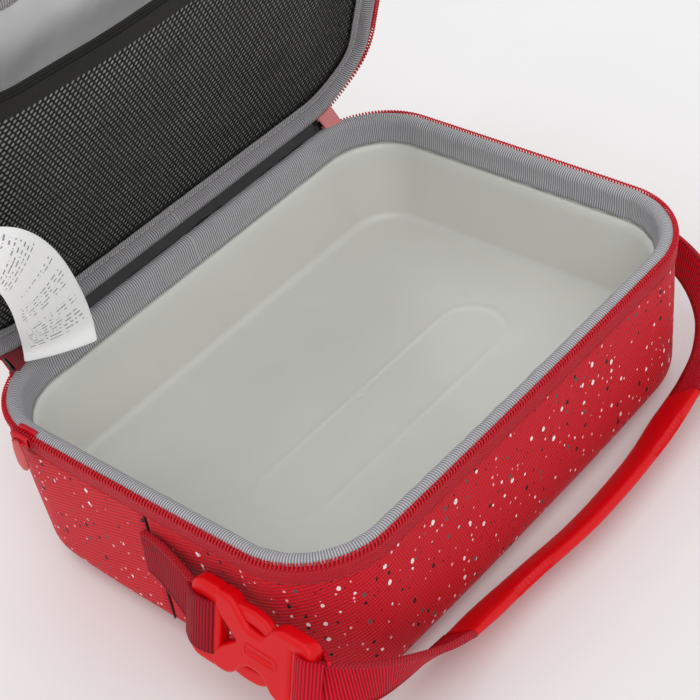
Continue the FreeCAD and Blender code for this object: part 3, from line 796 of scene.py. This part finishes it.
def zip_half(prefix, z_rim, lid, body, coil_node, tape_node):
    """One half of the zip: its coil, its tape and the twisted cord beside the coil."""
    down = -1 if lid else 1
    place(coil(f"{prefix}_zip_coil", z_rim - down * 1.1 * MM, lid), body, (coil_node,), RED_COIL)
    place(zip_tape(f"{prefix}_zip_tape", z_rim, down, lid), body, (tape_node,), TAPE)
    cord = stitch_row(f"{prefix}_zip_cord", np.arange(COIL_START, COIL_END, COIL_PITCH), 0.55 * MM,
                      z_rim - down * 3.7 * MM, lid, 1.5 * MM, 0.36 * MM, 0.55)
    place(cord, body, (), RED_THREAD)


def tub_rim():
    zip_half("tub", RIM, False, "root", "lower_zip_coil", "lower_zip_tape")
    row = stitch_row("tub_zip_stitches", np.arange(COIL_START, COIL_END, 2.4 * MM), 0.45 * MM,
                     RIM - 9.6 * MM, False)
    place(row, "root", (), RED_THREAD)
    inner = stitch_row("tub_binding_stitches", around(3.0 * MM), -7.7 * MM, RIM - 8.4 * MM, False,
                       1.8 * MM, 0.2 * MM)
    place(inner, "root", (), GREY_THREAD)


# ------------------------------------------------------------------ lid

def lid_shell():
    s = around(2.2 * MM)
    top = LID_RIM + LID_HEIGHT
    rounding = 12 * MM
    z_wall = np.linspace(LID_RIM + 9.5 * MM, top - rounding, 6)
    out_round, z_round = arc_profile(-rounding, top - rounding, rounding, 0, 86, 12)
    z = np.concatenate([z_wall, z_round[1:]])
    out = np.concatenate([np.zeros_like(z_wall), out_round[1:]])
    points = wrap(s, out[:, None] + 0.3 * MM * ripple(s[None], z[:, None], 0.08, 41), z, lid_swell)
    fractions = np.linspace(0, 0.985, 26)[1:]
    roof = inward(points[-1], fractions)
    crown = 3.2 * MM * np.sin(fractions * math.pi / 2)[:, None]
    waves = 0.5 * MM * ripple(roof[..., 0], roof[..., 1], 0.12, 42)
    roof[..., 2] += crown + waves * step(0, 0.3, fractions)[:, None]
    shell = grid_object("lid_outer_cloth", open_lid(np.concatenate([points, roof])), True, s, flip=True,
                        cap=True)
    plan = np.concatenate([points[-1:, :, :2], roof[..., :2]]).reshape(-1, 2)
    flat_panel_uv(shell, np.vstack([plan, roof[-1, :, :2].mean(0)]), (len(points) - 1) * len(s))
    thicken(shell, CLOTH_THICK, 1.0)
    place(shell, "lid", ("lid_panel", "lid_gusset"), RED_CLOTH)


def lid_inside():
    """Foam and crinkled foil lining."""
    s = around(3.0 * MM)
    top = LID_RIM + LID_HEIGHT
    out = np.array([-1.2, -7.6, -7.6, -90]) * MM
    z = np.array([LID_RIM + 9.8 * MM, LID_RIM + 9.8 * MM, top - 8.0 * MM, top - 8.0 * MM])
    foam = grid_object("lid_foam_block", open_lid(wrap(s, out, z, lid_swell)), True, s)
    place(foam, "lid", ("lid_foam",), FOAM)

    corner_out, corner_z = arc_profile(-13.0 * MM, LID_RIM + 12.0 * MM, 4.4 * MM, 5, 88, 7)
    out = np.concatenate([np.full(4, -8.4 * MM), corner_out])
    z = np.concatenate([LID_RIM + np.linspace(8.4, 11.5, 4) * MM, corner_z])
    rows = wrap(s, out, z, lid_swell)
    fractions = np.linspace(0, 0.985, 70)[1:]
    field = inward(rows[-1], fractions)
    x, y = field[..., 0], field[..., 1]
    folds = 1.9 * ripple(x, y, 0.10, 51) + 1.1 * np.abs(ripple(x * 1.4, y, 0.055, 52))
    field[..., 2] -= (folds + 0.4) * MM * step(0, 0.12, fractions)[:, None]
    lining = grid_object("lid_foil_lining", open_lid(np.concatenate([rows, field])), True, s, cap=True)
    thicken(lining, 0.3 * MM, 0.0)
    place(lining, "lid", ("lid_lining",), FOIL)


def lid_inner_limit(x):
    """Half depth of the lid's inner outline, at inset 6.5 mm, for a given x."""
    inset = 6.5 * MM
    radius = CORNER - inset
    dx = np.clip(np.abs(x) - CX, 0, radius)
    return CY + np.sqrt(np.maximum(radius ** 2 - dx ** 2, 0))


MESH_REACH = 138 * MM
MESH_LEVEL = LID_RIM + 5.6 * MM


def pocket_height(x, reach):
    """How high the net lies in the closed lid at a distance from the hinge: it sags towards the
    tub near its free edge."""
    side = np.clip(np.abs(x) / (HALF_X - 8 * MM), 0, 1)
    sag = 5.5 * MM * (1 - side ** 3) * step(0.0, 1.0, reach / MESH_REACH)
    tuck = 5.0 * MM * step(0.75, 1.0, side) * step(0.3, 1.0, reach / MESH_REACH)
    billow = 0.8 * MM * ripple(x, reach, 0.09, 61)
    return MESH_LEVEL - sag + tuck + billow


def net_pocket():
    """The pocket's net: yarn round six-sided holes, cut to the lid's outline."""
    pitch = 2.7 * MM
    row_height = pitch * math.sqrt(3) / 2
    half = HALF_X - 3.6 * MM
    verts = []
    faces = []
    index = {}

    def vertex(x, y):
        key = (round(x * 1e6), round(y * 1e6))
        if key not in index:
            index[key] = len(verts)
            verts.append((x, y))
        return index[key]

    rows = int(MESH_REACH / row_height) + 2
    cols = int(2 * half / pitch) + 2
    corners = [(math.sin(math.radians(60 * k)) * pitch / math.sqrt(3),
                math.cos(math.radians(60 * k)) * pitch / math.sqrt(3)) for k in range(6)]
    for row in range(rows):
        y = HALF_Y - 6.5 * MM - row * row_height
        if y < HALF_Y - MESH_REACH - 1 * MM:
            break
        for col in range(cols):
            x = -half + (col + 0.5 * (row % 2)) * pitch
            limit = lid_inner_limit(np.array(x))
            if abs(x) > half or abs(y) > limit - 0.5 * MM:
                continue
            outer = [vertex(x + cx, y + cy) for cx, cy in corners]
            inner = [vertex(x + 0.64 * cx, y + 0.76 * cy) for cx, cy in corners]
            for k in range(6):
                m = (k + 1) % 6
                faces.append((outer[k], outer[m], inner[m], inner[k]))
    flat = np.array(verts)
    reach = HALF_Y - flat[:, 1]
    height = pocket_height(flat[:, 0], reach)
    points = open_lid(np.stack([flat[:, 0], flat[:, 1], height], axis=-1))
    net = mesh_object("pocket_net", points, faces)
    thicken(net, 0.45 * MM, 0.0)
    place(net, "lid", ("mesh_pocket",), NET)


def pocket_elastic():
    x = np.linspace(-(HALF_X - 4.2 * MM), HALF_X - 4.2 * MM, 90)
    reach = MESH_REACH + np.array([-1.5, 0.0, 0.6, 4.0, 8.0, 11.4, 12.0, 13.0]) * MM
    proud = np.array([0.0, -0.5, -0.9, -1.0, -1.0, -0.9, -0.5, 0.2]) * MM
    limit = lid_inner_limit(x)
    grid = np.zeros((len(reach), len(x), 3))
    for i, (r, p) in enumerate(zip(reach, proud)):
        grid[i, :, 0] = x
        grid[i, :, 1] = np.maximum(HALF_Y - r, -limit)
        grid[i, :, 2] = pocket_height(x, np.full_like(x, min(r, MESH_REACH))) + p
    band = grid_object("pocket_elastic_band", open_lid(grid))
    thicken(band, 1.0 * MM, 0.0)
    soften(band)
    place(band, "lid", ("pocket_elastic",), ELASTIC)
    rows = []
    for r in (9.4, 11.6):
        line = np.stack([x, np.full_like(x, HALF_Y - MESH_REACH - r * MM),
                         pocket_height(x, np.full_like(x, MESH_REACH)) - 1.65 * MM], axis=-1)
        rows.append(tube_along(open_lid(line), 0.22 * MM, 5))
    place(joined("elastic_stitching", rows), "lid", (), NET)


def lid_rim():
    s = around(1.6 * MM)
    roll_out, roll_z = arc_profile(-3.9 * MM, LID_RIM + 3.4 * MM, 3.5 * MM, 175, 370, 14)
    out = np.concatenate([roll_out[::-1], np.array([-8.0, -8.8, -10.2, -11.6]) * MM])
    z = np.concatenate([roll_z[::-1], LID_RIM + np.array([3.4, 3.7, 3.8, 4.2]) * MM])
    k = np.arange(len(out))[:, None]
    wrinkle = 0.5 * MM * ripple(s[None], k * 2 * MM, 0.022, 71)
    wrinkle = wrinkle + 0.3 * MM * ripple(s[None], k * MM, 0.009, 72)
    lift = HINGE_PLUMP * back_share(s) * step(LID_RIM + 4.5 * MM, LID_RIM, z)[:, None]
    points = wrap(s, out[:, None] + wrinkle * step(1, 6, k), z[:, None] - lift + 0.5 * wrinkle, lid_swell)
    binding = grid_object("lid_rim_binding", open_lid(points), True, s)
    thicken(binding, 0.6 * MM, 1.0)
    place(binding, "lid", ("lid_binding",), SHADED_LID_BINDING)
    zip_half("lid", LID_RIM, True, "lid", "upper_zip_coil", "upper_zip_tape")
    row = stitch_row("lid_binding_stitches", around(3.2 * MM), -9.8 * MM, LID_RIM + 3.2 * MM, True,
                     1.9 * MM, 0.22 * MM)
    place(row, "lid", (), GREY_THREAD)


# ------------------------------------------------------------------ hinge, tabs, label

def bend_across_hinge(piece):
    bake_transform(piece)


def hinge_cloth():
    """The red outer cloth and the dark inner lining that cross from tub to lid."""
    x = np.linspace(-CX - 16 * MM, CX + 16 * MM, 120)
    drop = np.clip(np.abs(x) - CX, 0, None)
    bend = CORNER - np.sqrt(CORNER ** 2 - drop ** 2)
    back = HALF_Y - BACK_INSET - bend

    def strip(name, low, high, material, node, thick, seed, amount):
        """One sheet: low and high list its (out, up) points from the two rims, in order."""
        def level(out, z):
            return np.stack([x, back + out, np.full_like(x, z)], axis=-1)

        rows = [level(out, RIM + up) for out, up in low]
        rows += [open_lid(level(out, LID_RIM + up)) for out, up in high]
        grid = smooth_path(np.array(rows).reshape(len(rows), -1), 4).reshape(-1, len(x), 3)
        k = np.arange(len(grid))[:, None]
        grid[..., 1] += amount * ripple(x[None], k * MM, 0.03, seed)
        grid[..., 2] += amount * ripple(x[None] * 0.7, k * MM, 0.024, seed + 1)
        piece = grid_object(name, grid)
        thicken(piece, thick, 0.0)
        place(piece, None, (node,), material)
        bend_across_hinge(piece)

    strip("hinge_outer_cloth", [(0.5 * MM, -11 * MM), (0.6 * MM, -4 * MM), (0.7 * MM, -0.6 * MM)],
          [(0.7 * MM, 0.6 * MM), (0.6 * MM, 4 * MM), (0.5 * MM, 11 * MM)], RED_CLOTH,
          "hinge_fabric", 0.7 * MM, 81, 0.1 * MM)
    strip("hinge_inner_lining", [(-2.4 * MM, -1.2 * MM), (-1.2 * MM, -0.8 * MM)],
          [(-1.2 * MM, 0.8 * MM), (-2.4 * MM, 1.2 * MM)], DARK, "hinge_lining", 0.4 * MM, 83,
          1.0 * MM)


def end_tabs():
    """Folded tape at each end of the zip, which bridges the two coils and bends over to the open lid."""
    for name, node, start, end, material in (
            ("zip_tab_left", "zip_end_tab_left", COIL_START - 9 * MM, COIL_START + 1 * MM, DARK_RED_TAPE),
            ("zip_tab_right", "zip_end_tab_right", COIL_END - 1 * MM, COIL_END + 9 * MM, PINK_TAPE)):
        s = np.linspace(start, end, 14)
        low = wrap(s, np.array([1.4, 1.2, -2.2, -3.4]) * MM, RIM + np.array([-5.0, 0.4, 1.0, 1.7]) * MM)
        high = open_lid(wrap(s, np.array([-2.0, -0.4, 1.4, 1.2]) * MM,
                             LID_RIM - np.array([1.5, 1.1, -1.0, -5.0]) * MM, lid_swell))
        rows = np.concatenate([low, high])
        rows = smooth_path(rows.reshape(len(rows), -1), 5).reshape(-1, len(s), 3)
        tab = grid_object(name, rows, False, s)
        thicken(tab, 0.9 * MM, 0.0)
        place(tab, None, (node,), material)
        bend_across_hinge(tab)


def care_label():
    """A satin ribbon down a curve of stations: x, y and z in millimetres, then the direction across."""
    stations = [(-125.5, 66.5, 169.5, 0.0, -0.39, 0.92), (-112.0, 62.0, 160.0, 0.35, -0.40, 0.85),
                (-101.0, 67.0, 140.0, 0.66, -0.35, 0.66), (-93.0, 75.0, 115.0, 0.85, -0.38, 0.36),
                (-89.0, 81.0, 97.0, 0.86, -0.48, 0.12), (-90.0, 81.0, 88.0, 0.83, -0.55, 0.0)]
    rows = smooth_path(stations, 8)
    centre = rows[:, :3] * MM
    across = unit(rows[:, 3:])
    widths = np.linspace(16, -16, 13) * MM
    normal = unit(np.cross(np.gradient(centre, axis=0), across))
    cup = (1 - (widths / LABEL_HALF) ** 2) * 1.8 * MM
    grid = centre[None] + across[None] * widths[:, None, None] + normal[None] * cup[:, None, None]
    label = grid_object("satin_care_label", grid, False, None, widths[::-1] + LABEL_HALF)
    thicken(label, 0.25 * MM, 0.0)
    soften(label)
    place(label, None, ("care_label",), SATIN)
    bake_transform(label)


tub_fabric()
tub_foam()
liner()
rim_binding()
tub_rim()
lid_shell()
lid_inside()
net_pocket()
pocket_elastic()
lid_rim()
hinge_cloth()
end_tabs()
care_label()

# ------------------------------------------------------------------ strap

# Stations down each strap: x, y and z in millimetres, then the lean in degrees.
LEFT_WEB = [(-141.5, -100.8, 45.4, 15), (-138.6, -105.0, 44.4, 14), (-132.0, -109.3, 41.4, 8),
            (-121.0, -112.0, 35.5, -8), (-106.0, -112.5, 27.5, -26), (-90.0, -112.0, 19.5, -42),
            (-75.0, -111.5, 14.2, -51)]
GRIP = [(-74.5, -111.5, 14.0, -51), (-50.0, -111.5, 11.4, -51), (-30.0, -112.8, 10.8, -51),
        (0.0, -115.8, 10.8, -51), (30.0, -115.8, 10.8, -51), (55.0, -114.2, 11.2, -51),
        (75.0, -112.0, 12.8, -51), (87.0, -111.0, 14.4, -51)]
RIGHT_WEB = [(87.6, -110.9, 14.5, -51), (102.0, -109.0, 17.0, -48), (119.0, -104.5, 21.0, -42),
             (135.0, -94.0, 27.0, -30), (147.0, -76.0, 33.0, -14), (151.0, -54.0, 40.0, 0),
             (145.5, -31.0, 47.0, 4), (137.0, -13.0, 52.5, 4), (132.4, -5.0, 54.0, 0)]
ANCHOR = [(-134.2, -6.0, 56.0, 4), (-135.2, -16.0, 54.5, 8), (-138.0, -28.0, 52.0, 12),
          (-140.6, -37.5, 49.6, 15)]


def strap_axes(stations, steps=10):
    """Centre, along, upright and outward directions down a strap."""
    rows = smooth_path(stations, steps)
    centre = rows[:, :3] * MM
    along = np.gradient(centre, axis=0)
    along[:, 2] = 0.0
    along = unit(along)
    lean = np.radians(rows[:, 3])[:, None]
    out = np.stack([along[:, 1], -along[:, 0], 0 * along[:, 0]], axis=-1)
    z = np.array([0, 0, 1.0])
    return centre, along, z * np.cos(lean) - out * np.sin(lean), out * np.cos(lean) + z * np.sin(lean)


def web(name, stations, thick, body, node, material):
    """Ribbed webbing with a thicker braided edge along each side."""
    centre, _, upright, outward = strap_axes(stations)
    half = WEB_WIDTH / 2
    edge = 0.75 * MM
    levels = np.array([half - edge, half * 0.6, 0.0, -half * 0.6, -half + edge])
    face = centre[None] + upright[None] * levels[:, None, None] + outward[None] * thick / 2
    back = centre[None] + upright[None] * levels[::-1][:, None, None] - outward[None] * thick / 2
    loop = np.concatenate([face, back, face[:1]])
    place(grid_object(name, loop), body, (node,), material)
    angles = np.linspace(0, 2 * math.pi, 11)
    for label, side in (("top", 1), ("foot", -1)):
        rim = (centre[None] + upright[None] * (side * (half - edge))
               + upright[None] * (edge * np.cos(angles))[:, None, None]
               + outward[None] * ((thick / 2 + 0.3 * MM) * np.sin(angles))[:, None, None])
        place(grid_object(f"{name}_{label}_edge", rim), body, (), BRAID)


web("strap_webbing_left", LEFT_WEB, 3.0 * MM, "strap", "webbing_left", WEBBING)
web("strap_webbing_right", RIGHT_WEB, 1.8 * MM, "strap", "webbing_right", WEBBING)
web("strap_anchor_webbing", ANCHOR, 3.0 * MM, "male", "anchor_webbing", SHADED_TAB_WEBBING)


def grip():
    """The moulded grip: a flat-faced sleeve whose upper edge has an oval, ridged recess near each
    end."""
    centre, along, upright, outward = strap_axes(GRIP, 40)
    length = distances(centre)
    ends = np.minimum(length, length[-1] - length)
    height = (10.6 - 1.5 * step(14 * MM, 46 * MM, ends)) * MM
    depth = (2.3 + 0.6 * step(0, 14 * MM, ends)) * MM
    angles = np.linspace(0, 2 * math.pi, 81)
    power = 0.6
    ca = np.sign(np.cos(angles)) * np.abs(np.cos(angles)) ** power
    sa = np.sign(np.sin(angles)) * np.abs(np.sin(angles)) ** power
    grid = (centre[None] + upright[None] * (ca[:, None] * height[None])[..., None]
            + outward[None] * (sa[:, None] * depth[None])[..., None])
    across = sa[:, None] * depth[None]
    dent = np.zeros_like(across)
    for middle in (40 * MM, length[-1] - 27 * MM):
        d = np.hypot(np.maximum(np.abs(length[None] - middle) - 10 * MM, 0) * 0.6, across)
        dent = np.maximum(dent, 1 - step(1.5 * MM, 2.1 * MM, d))
    dent = dent * (ca[:, None] > 0.3)
    ridge = 0.3 * MM * np.sin(length[None] * 2 * math.pi / (2.4 * MM)) * dent
    grid -= upright[None] * (1.5 * MM * dent - ridge)[..., None]
    place(grid_object("strap_grip", grid), "strap", ("handle_grip",), GRIP_RUBBER)
    for name, index in (("strap_grip_end_left", 0), ("strap_grip_end_right", -1)):
        ring = grid[:-1, index]
        spokes = ring - centre[index]
        push = along[index] * (-0.4 if index == 0 else 0.4) * MM
        cap_rows = np.stack([ring, centre[index] + spokes * 0.9 + push,
                             centre[index] + spokes * 0.15 + push])
        place(grid_object(name, cap_rows, True, cap=True), "strap", (), GRIP_RUBBER)


grip()

# ------------------------------------------------------------------ buckle

BUCKLE_AT = Vector((-141.0, -43.0, 47.6)) * MM
LENGTHWISE = Vector((-0.4, -45.5, -1.8)).normalized()
UPWARD = Vector((math.sin(math.radians(15)), 0, math.cos(math.radians(15))))
UPWARD = (UPWARD - LENGTHWISE * UPWARD.dot(LENGTHWISE)).normalized()
OUTWARD = LENGTHWISE.cross(UPWARD)
BUCKLE = Matrix((LENGTHWISE, UPWARD, OUTWARD)).transposed().to_4x4()
BUCKLE.translation = BUCKLE_AT


def plate(name, loops, thick, bevel):
    """A bevelled plate cut from flat outlines in the buckle's frame, in millimetres; every loop
    after the first is a hole. A corner is (x, y) or (x, y, radius)."""
    curve = bpy.data.curves.new(name, "CURVE")
    curve.dimensions = "2D"
    curve.fill_mode = "BOTH"
    curve.extrude = (thick / 2 - bevel) * MM
    curve.bevel_depth = bevel * MM
    curve.bevel_resolution = 3
    for loop in loops:
        points = rounded(loop)
        spline = curve.splines.new("POLY")
        spline.points.add(len(points) - 1)
        for point, (x, y) in zip(spline.points, points):
            point.co = (x * MM, y * MM, 0, 1)
        spline.use_cyclic_u = True
    carrier = linked(name, curve)
    bpy.context.view_layer.update()
    mesh = bpy.data.meshes.new_from_object(carrier.evaluated_get(bpy.context.evaluated_depsgraph_get()))
    bpy.data.objects.remove(carrier)
    mesh.transform(BUCKLE)
    mesh.name = name
    mesh.polygons.foreach_set("use_smooth", [True] * len(mesh.polygons))
    return linked(name, mesh)


def rounded(loop):
    """The loop's corners as points, with each corner that has a radius turned into an arc."""
    out = []
    count = len(loop)
    for i, corner in enumerate(loop):
        here = np.array(corner[:2], float)
        if len(corner) < 3:
            out.append(tuple(here))
            continue
        before = np.array(loop[i - 1][:2], float) - here
        after = np.array(loop[(i + 1) % count][:2], float) - here
        cut = min(corner[2], 0.48 * np.linalg.norm(before), 0.48 * np.linalg.norm(after))
        a = here + before / np.linalg.norm(before) * cut
        b = here + after / np.linalg.norm(after) * cut
        for t in np.linspace(0, 1, 6):
            out.append(tuple((1 - t) ** 2 * a + 2 * t * (1 - t) * here + t * t * b))
    return out


def mirrored(half_outline):
    """A closed outline from its upper half, which runs along +X, and its mirror image below."""
    return half_outline + [(x, -y, *rest) for x, y, *rest in half_outline[::-1]]


def bar_loop(name, section, half_width, body, material):
    """Webbing round a buckle bar: a section of (x, height) points carried across the buckle."""
    path = smooth_path(section, 6)
    across = np.linspace(half_width, -half_width, 9)
    rows = np.array([[tuple(BUCKLE @ (Vector((x, y, h)) * MM)) for x, h in path] for y in across])
    band = grid_object(name, rows)
    thicken(band, 1.4 * MM, 0.0)
    place(band, body, (), material)


male = plate("buckle_male_half", [
    mirrored([(-3.4, 16.6, 4.5), (8.3, 16.6, 1.5), (8.3, 12.0, 1.0)]),
    [(0.2, -12.6, 1.0), (4.8, -12.6, 1.0), (4.8, 12.6, 1.0), (0.2, 12.6, 1.0)]], 7.4, 2.2)
place(male, "male", ("buckle_male",), RED_PLASTIC)
for label, side in (("upper", 1), ("lower", -1)):
    prong = plate(f"buckle_prong_{label}", [[
        (x, side * y, r) for x, y, r in (
            (9.6, 9.2, 1), (9.6, 13.4, 1), (16.0, 14.6, 3), (24.0, 15.9, 4), (31.5, 15.0, 3),
            (36.2, 11.0, 1.5), (35.4, 8.9, 1), (30.0, 11.2, 3), (23.0, 12.0, 3), (16.0, 9.6, 2))][::side]],
        4.4, 1.3)
    place(prong, f"prong_{label}", (f"prong_{label}",), RED_PLASTIC)
female = plate("buckle_female_half", [
    mirrored([(8.7, 11.2, 1.2), (8.7, 16.6, 1.6), (14.6, 16.6, 2), (19.0, 12.4, 3), (24.0, 6.9, 5),
              (34.0, 6.9, 5), (38.6, 15.0, 4), (54.8, 15.0, 3)])
    + [(20.5, -1.4, 1.5), (20.5, 1.4, 1.5)],
    [(25.0, -1.4, 1.3), (39.0, -1.4, 1.3), (39.0, 1.4, 1.3), (25.0, 1.4, 1.3)],
    [(45.2, -12.8, 1), (48.6, -12.8, 1), (48.6, 12.8, 1), (45.2, 12.8, 1)]], 7.6, 2.0)
place(female, "strap", ("buckle_female",), RED_PLASTIC)
rim_path = [tuple(BUCKLE @ (Vector((x, y, 3.7)) * MM)) for x, y in (
    rounded(mirrored([(23.8, 2.5, 2.0), (40.2, 2.5, 2.0)])))]
place(mesh_object("buckle_slot_rim", *tube_along(rim_path, 0.5 * MM, 8, True, up=tuple(OUTWARD))),
      "strap", (), RED_PLASTIC)
bar_loop("strap_anchor_loop", [(-8.5, 1.2), (-5.4, 3.2), (-1.6, 5.0), (3.8, 5.0), (7.6, 3.4), (8.4, 0.0),
                               (7.6, -3.4), (3.8, -4.8), (-1.6, -4.8), (-5.4, -3.0), (-8.5, -1.2)],
         12.3, "male", SHADED_TAB_WEBBING)
bar_loop("strap_outlet_loop", [(61.0, 1.5), (58.0, 3.2), (55.0, 4.8), (51.4, 4.7), (48.2, 2.4), (47.6, 0.0),
                               (48.2, -2.4), (51.4, -4.7), (55.0, -4.8), (58.0, -3.2), (61.0, -1.5)],
         12.3, "strap", WEBBING)

# ------------------------------------------------------------------ zip slider and puller

SIDE = -HALF_X
SLIDER = (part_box("zip_slider")[0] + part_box("zip_slider")[1]) / 2


def slider():
    """The slider's two plates, on either side of the coil, and the bridge the puller hangs on."""
    low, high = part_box("zip_slider")
    middle = RIM - 1.1 * MM
    ys = np.linspace(low.y, high.y, 9)
    taper = 0.82 + 0.18 * np.sin(np.linspace(0.3, math.pi - 0.3, 9))
    parts = []
    for out in (-3.2 * MM, 1.4 * MM):
        x = SIDE - out - 1.6 * MM
        grid = []
        for dz, dx in ((-2.6, 0.0), (-2.2, -0.5), (0.0, -0.7), (2.2, -0.5), (2.6, 0.0), (2.2, 0.6),
                       (-2.2, 0.6), (-2.6, 0.0)):
            grid.append(np.stack([np.full_like(ys, x + dx * MM), ys, middle + dz * MM * taper], axis=-1))
        parts.append(thicken(grid_object("slider_plate", np.array(grid)), 0.5 * MM))
    path = [(SIDE - (3.6 if abs(d) > 2.9 else 5.2) * MM, SLIDER.y + d * MM, middle)
            for d in (-3.2, -2.6, -1.0, 1.0, 2.6, 3.2)]
    bpy.context.view_layer.update()
    depsgraph = bpy.context.evaluated_depsgraph_get()
    pieces = [tube_along(path, 0.7 * MM, 8)]
    for item in parts:
        mesh = bpy.data.meshes.new_from_object(item.evaluated_get(depsgraph))
        pieces.append((np.array([v.co for v in mesh.vertices]), [tuple(p.vertices) for p in mesh.polygons]))
        bpy.data.objects.remove(item)
    place(joined("zip_slider_body", pieces), "slider", ("zip_slider",), RED_COIL)


def puller():
    """The moulded puller: a flat drop shape, round at the edges."""
    low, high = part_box("zip_puller")
    angles = np.linspace(0, 2 * math.pi, 17)[:-1]
    rows = []
    for t in np.linspace(0, 1, 15):
        z = high.z + (low.z - high.z) * t
        half = np.interp(t, [0, 0.12, 0.4, 0.85, 1], [1.6, 2.4, 3.4, 3.3, 1.8]) * MM
        thick = np.interp(t, [0, 0.2, 0.8, 1], [0.8, 1.1, 1.2, 0.7]) * MM
        rows.append(np.stack([(low.x + high.x) / 2 + thick * np.cos(angles),
                              SLIDER.y + half * np.sin(angles), np.full_like(angles, z)], axis=-1))
    rows = [rows[0] * 0 + rows[0].mean(0)] + rows + [rows[-1] * 0 + rows[-1].mean(0)]
    body = grid_object("zip_puller_body", np.array(rows), True)
    place(body, "puller", ("zip_puller",), PULL_RUBBER)


slider()
puller()

# ------------------------------------------------------------------ floor, light and camera

FLOOR_REACH = 40.0
SKY = 0.74
SUNS = (("top", (0.2, 0.7, 1.25), 50, 0.46), ("front", (-0.7, -0.7, 1.25), 60, 0.88))
EYE_AT = (-0.4061, -0.4350, 0.5537)
LOOK = Vector((0.523, 0.562, -0.640)).normalized()
LENS, SENSOR, ROLL = 91.69, 36, -10.65


def studio():
    """A near-white floor, an even sky and two soft suns, given by place, spread and power."""
    graph, where = solid_graph("studio_floor")
    grain = graph.noise(where, 40.0, 2.0)
    floor_colour = graph.mix(grain, rgb(234, 234, 234), rgb(236, 236, 236))
    material = graph.finish(floor_colour, 0.9, Specular_IOR_Level=0.0)
    corners = [(x * FLOOR_REACH, y * FLOOR_REACH, 0) for x, y in ((-1, -1), (1, -1), (1, 1), (-1, 1))]
    floor = mesh_object("floor", corners, [(0, 1, 2, 3)])
    floor.data.materials.append(material)
    world = bpy.data.worlds.new("studio")
    world.use_nodes = True
    background = world.node_tree.nodes["Background"]
    background.inputs[0].default_value = (1, 1, 1, 1)
    background.inputs[1].default_value = SKY
    bpy.context.scene.world = world
    for name, place_at, spread, power in SUNS:
        data = bpy.data.lights.new(name, "SUN")
        data.angle = math.radians(spread)
        data.energy = power
        lamp = linked(name, data)
        lamp.location = place_at
        lamp.rotation_euler = (-Vector(place_at)).to_track_quat("-Z", "Y").to_euler()


def camera():
    data = bpy.data.cameras.new("camera")
    data.sensor_width = SENSOR
    data.lens = LENS
    eye = linked("camera", data)
    turn = LOOK.to_track_quat("-Z", "Y").to_matrix().to_4x4()
    roll = Matrix.Rotation(math.radians(ROLL), 4, "Z")
    eye.matrix_world = Matrix.Translation(EYE_AT) @ turn @ roll
    bpy.context.scene.camera = eye


studio()
camera()
bpy.context.scene.view_settings.view_transform = "Standard"

bpy.context.view_layer.update()
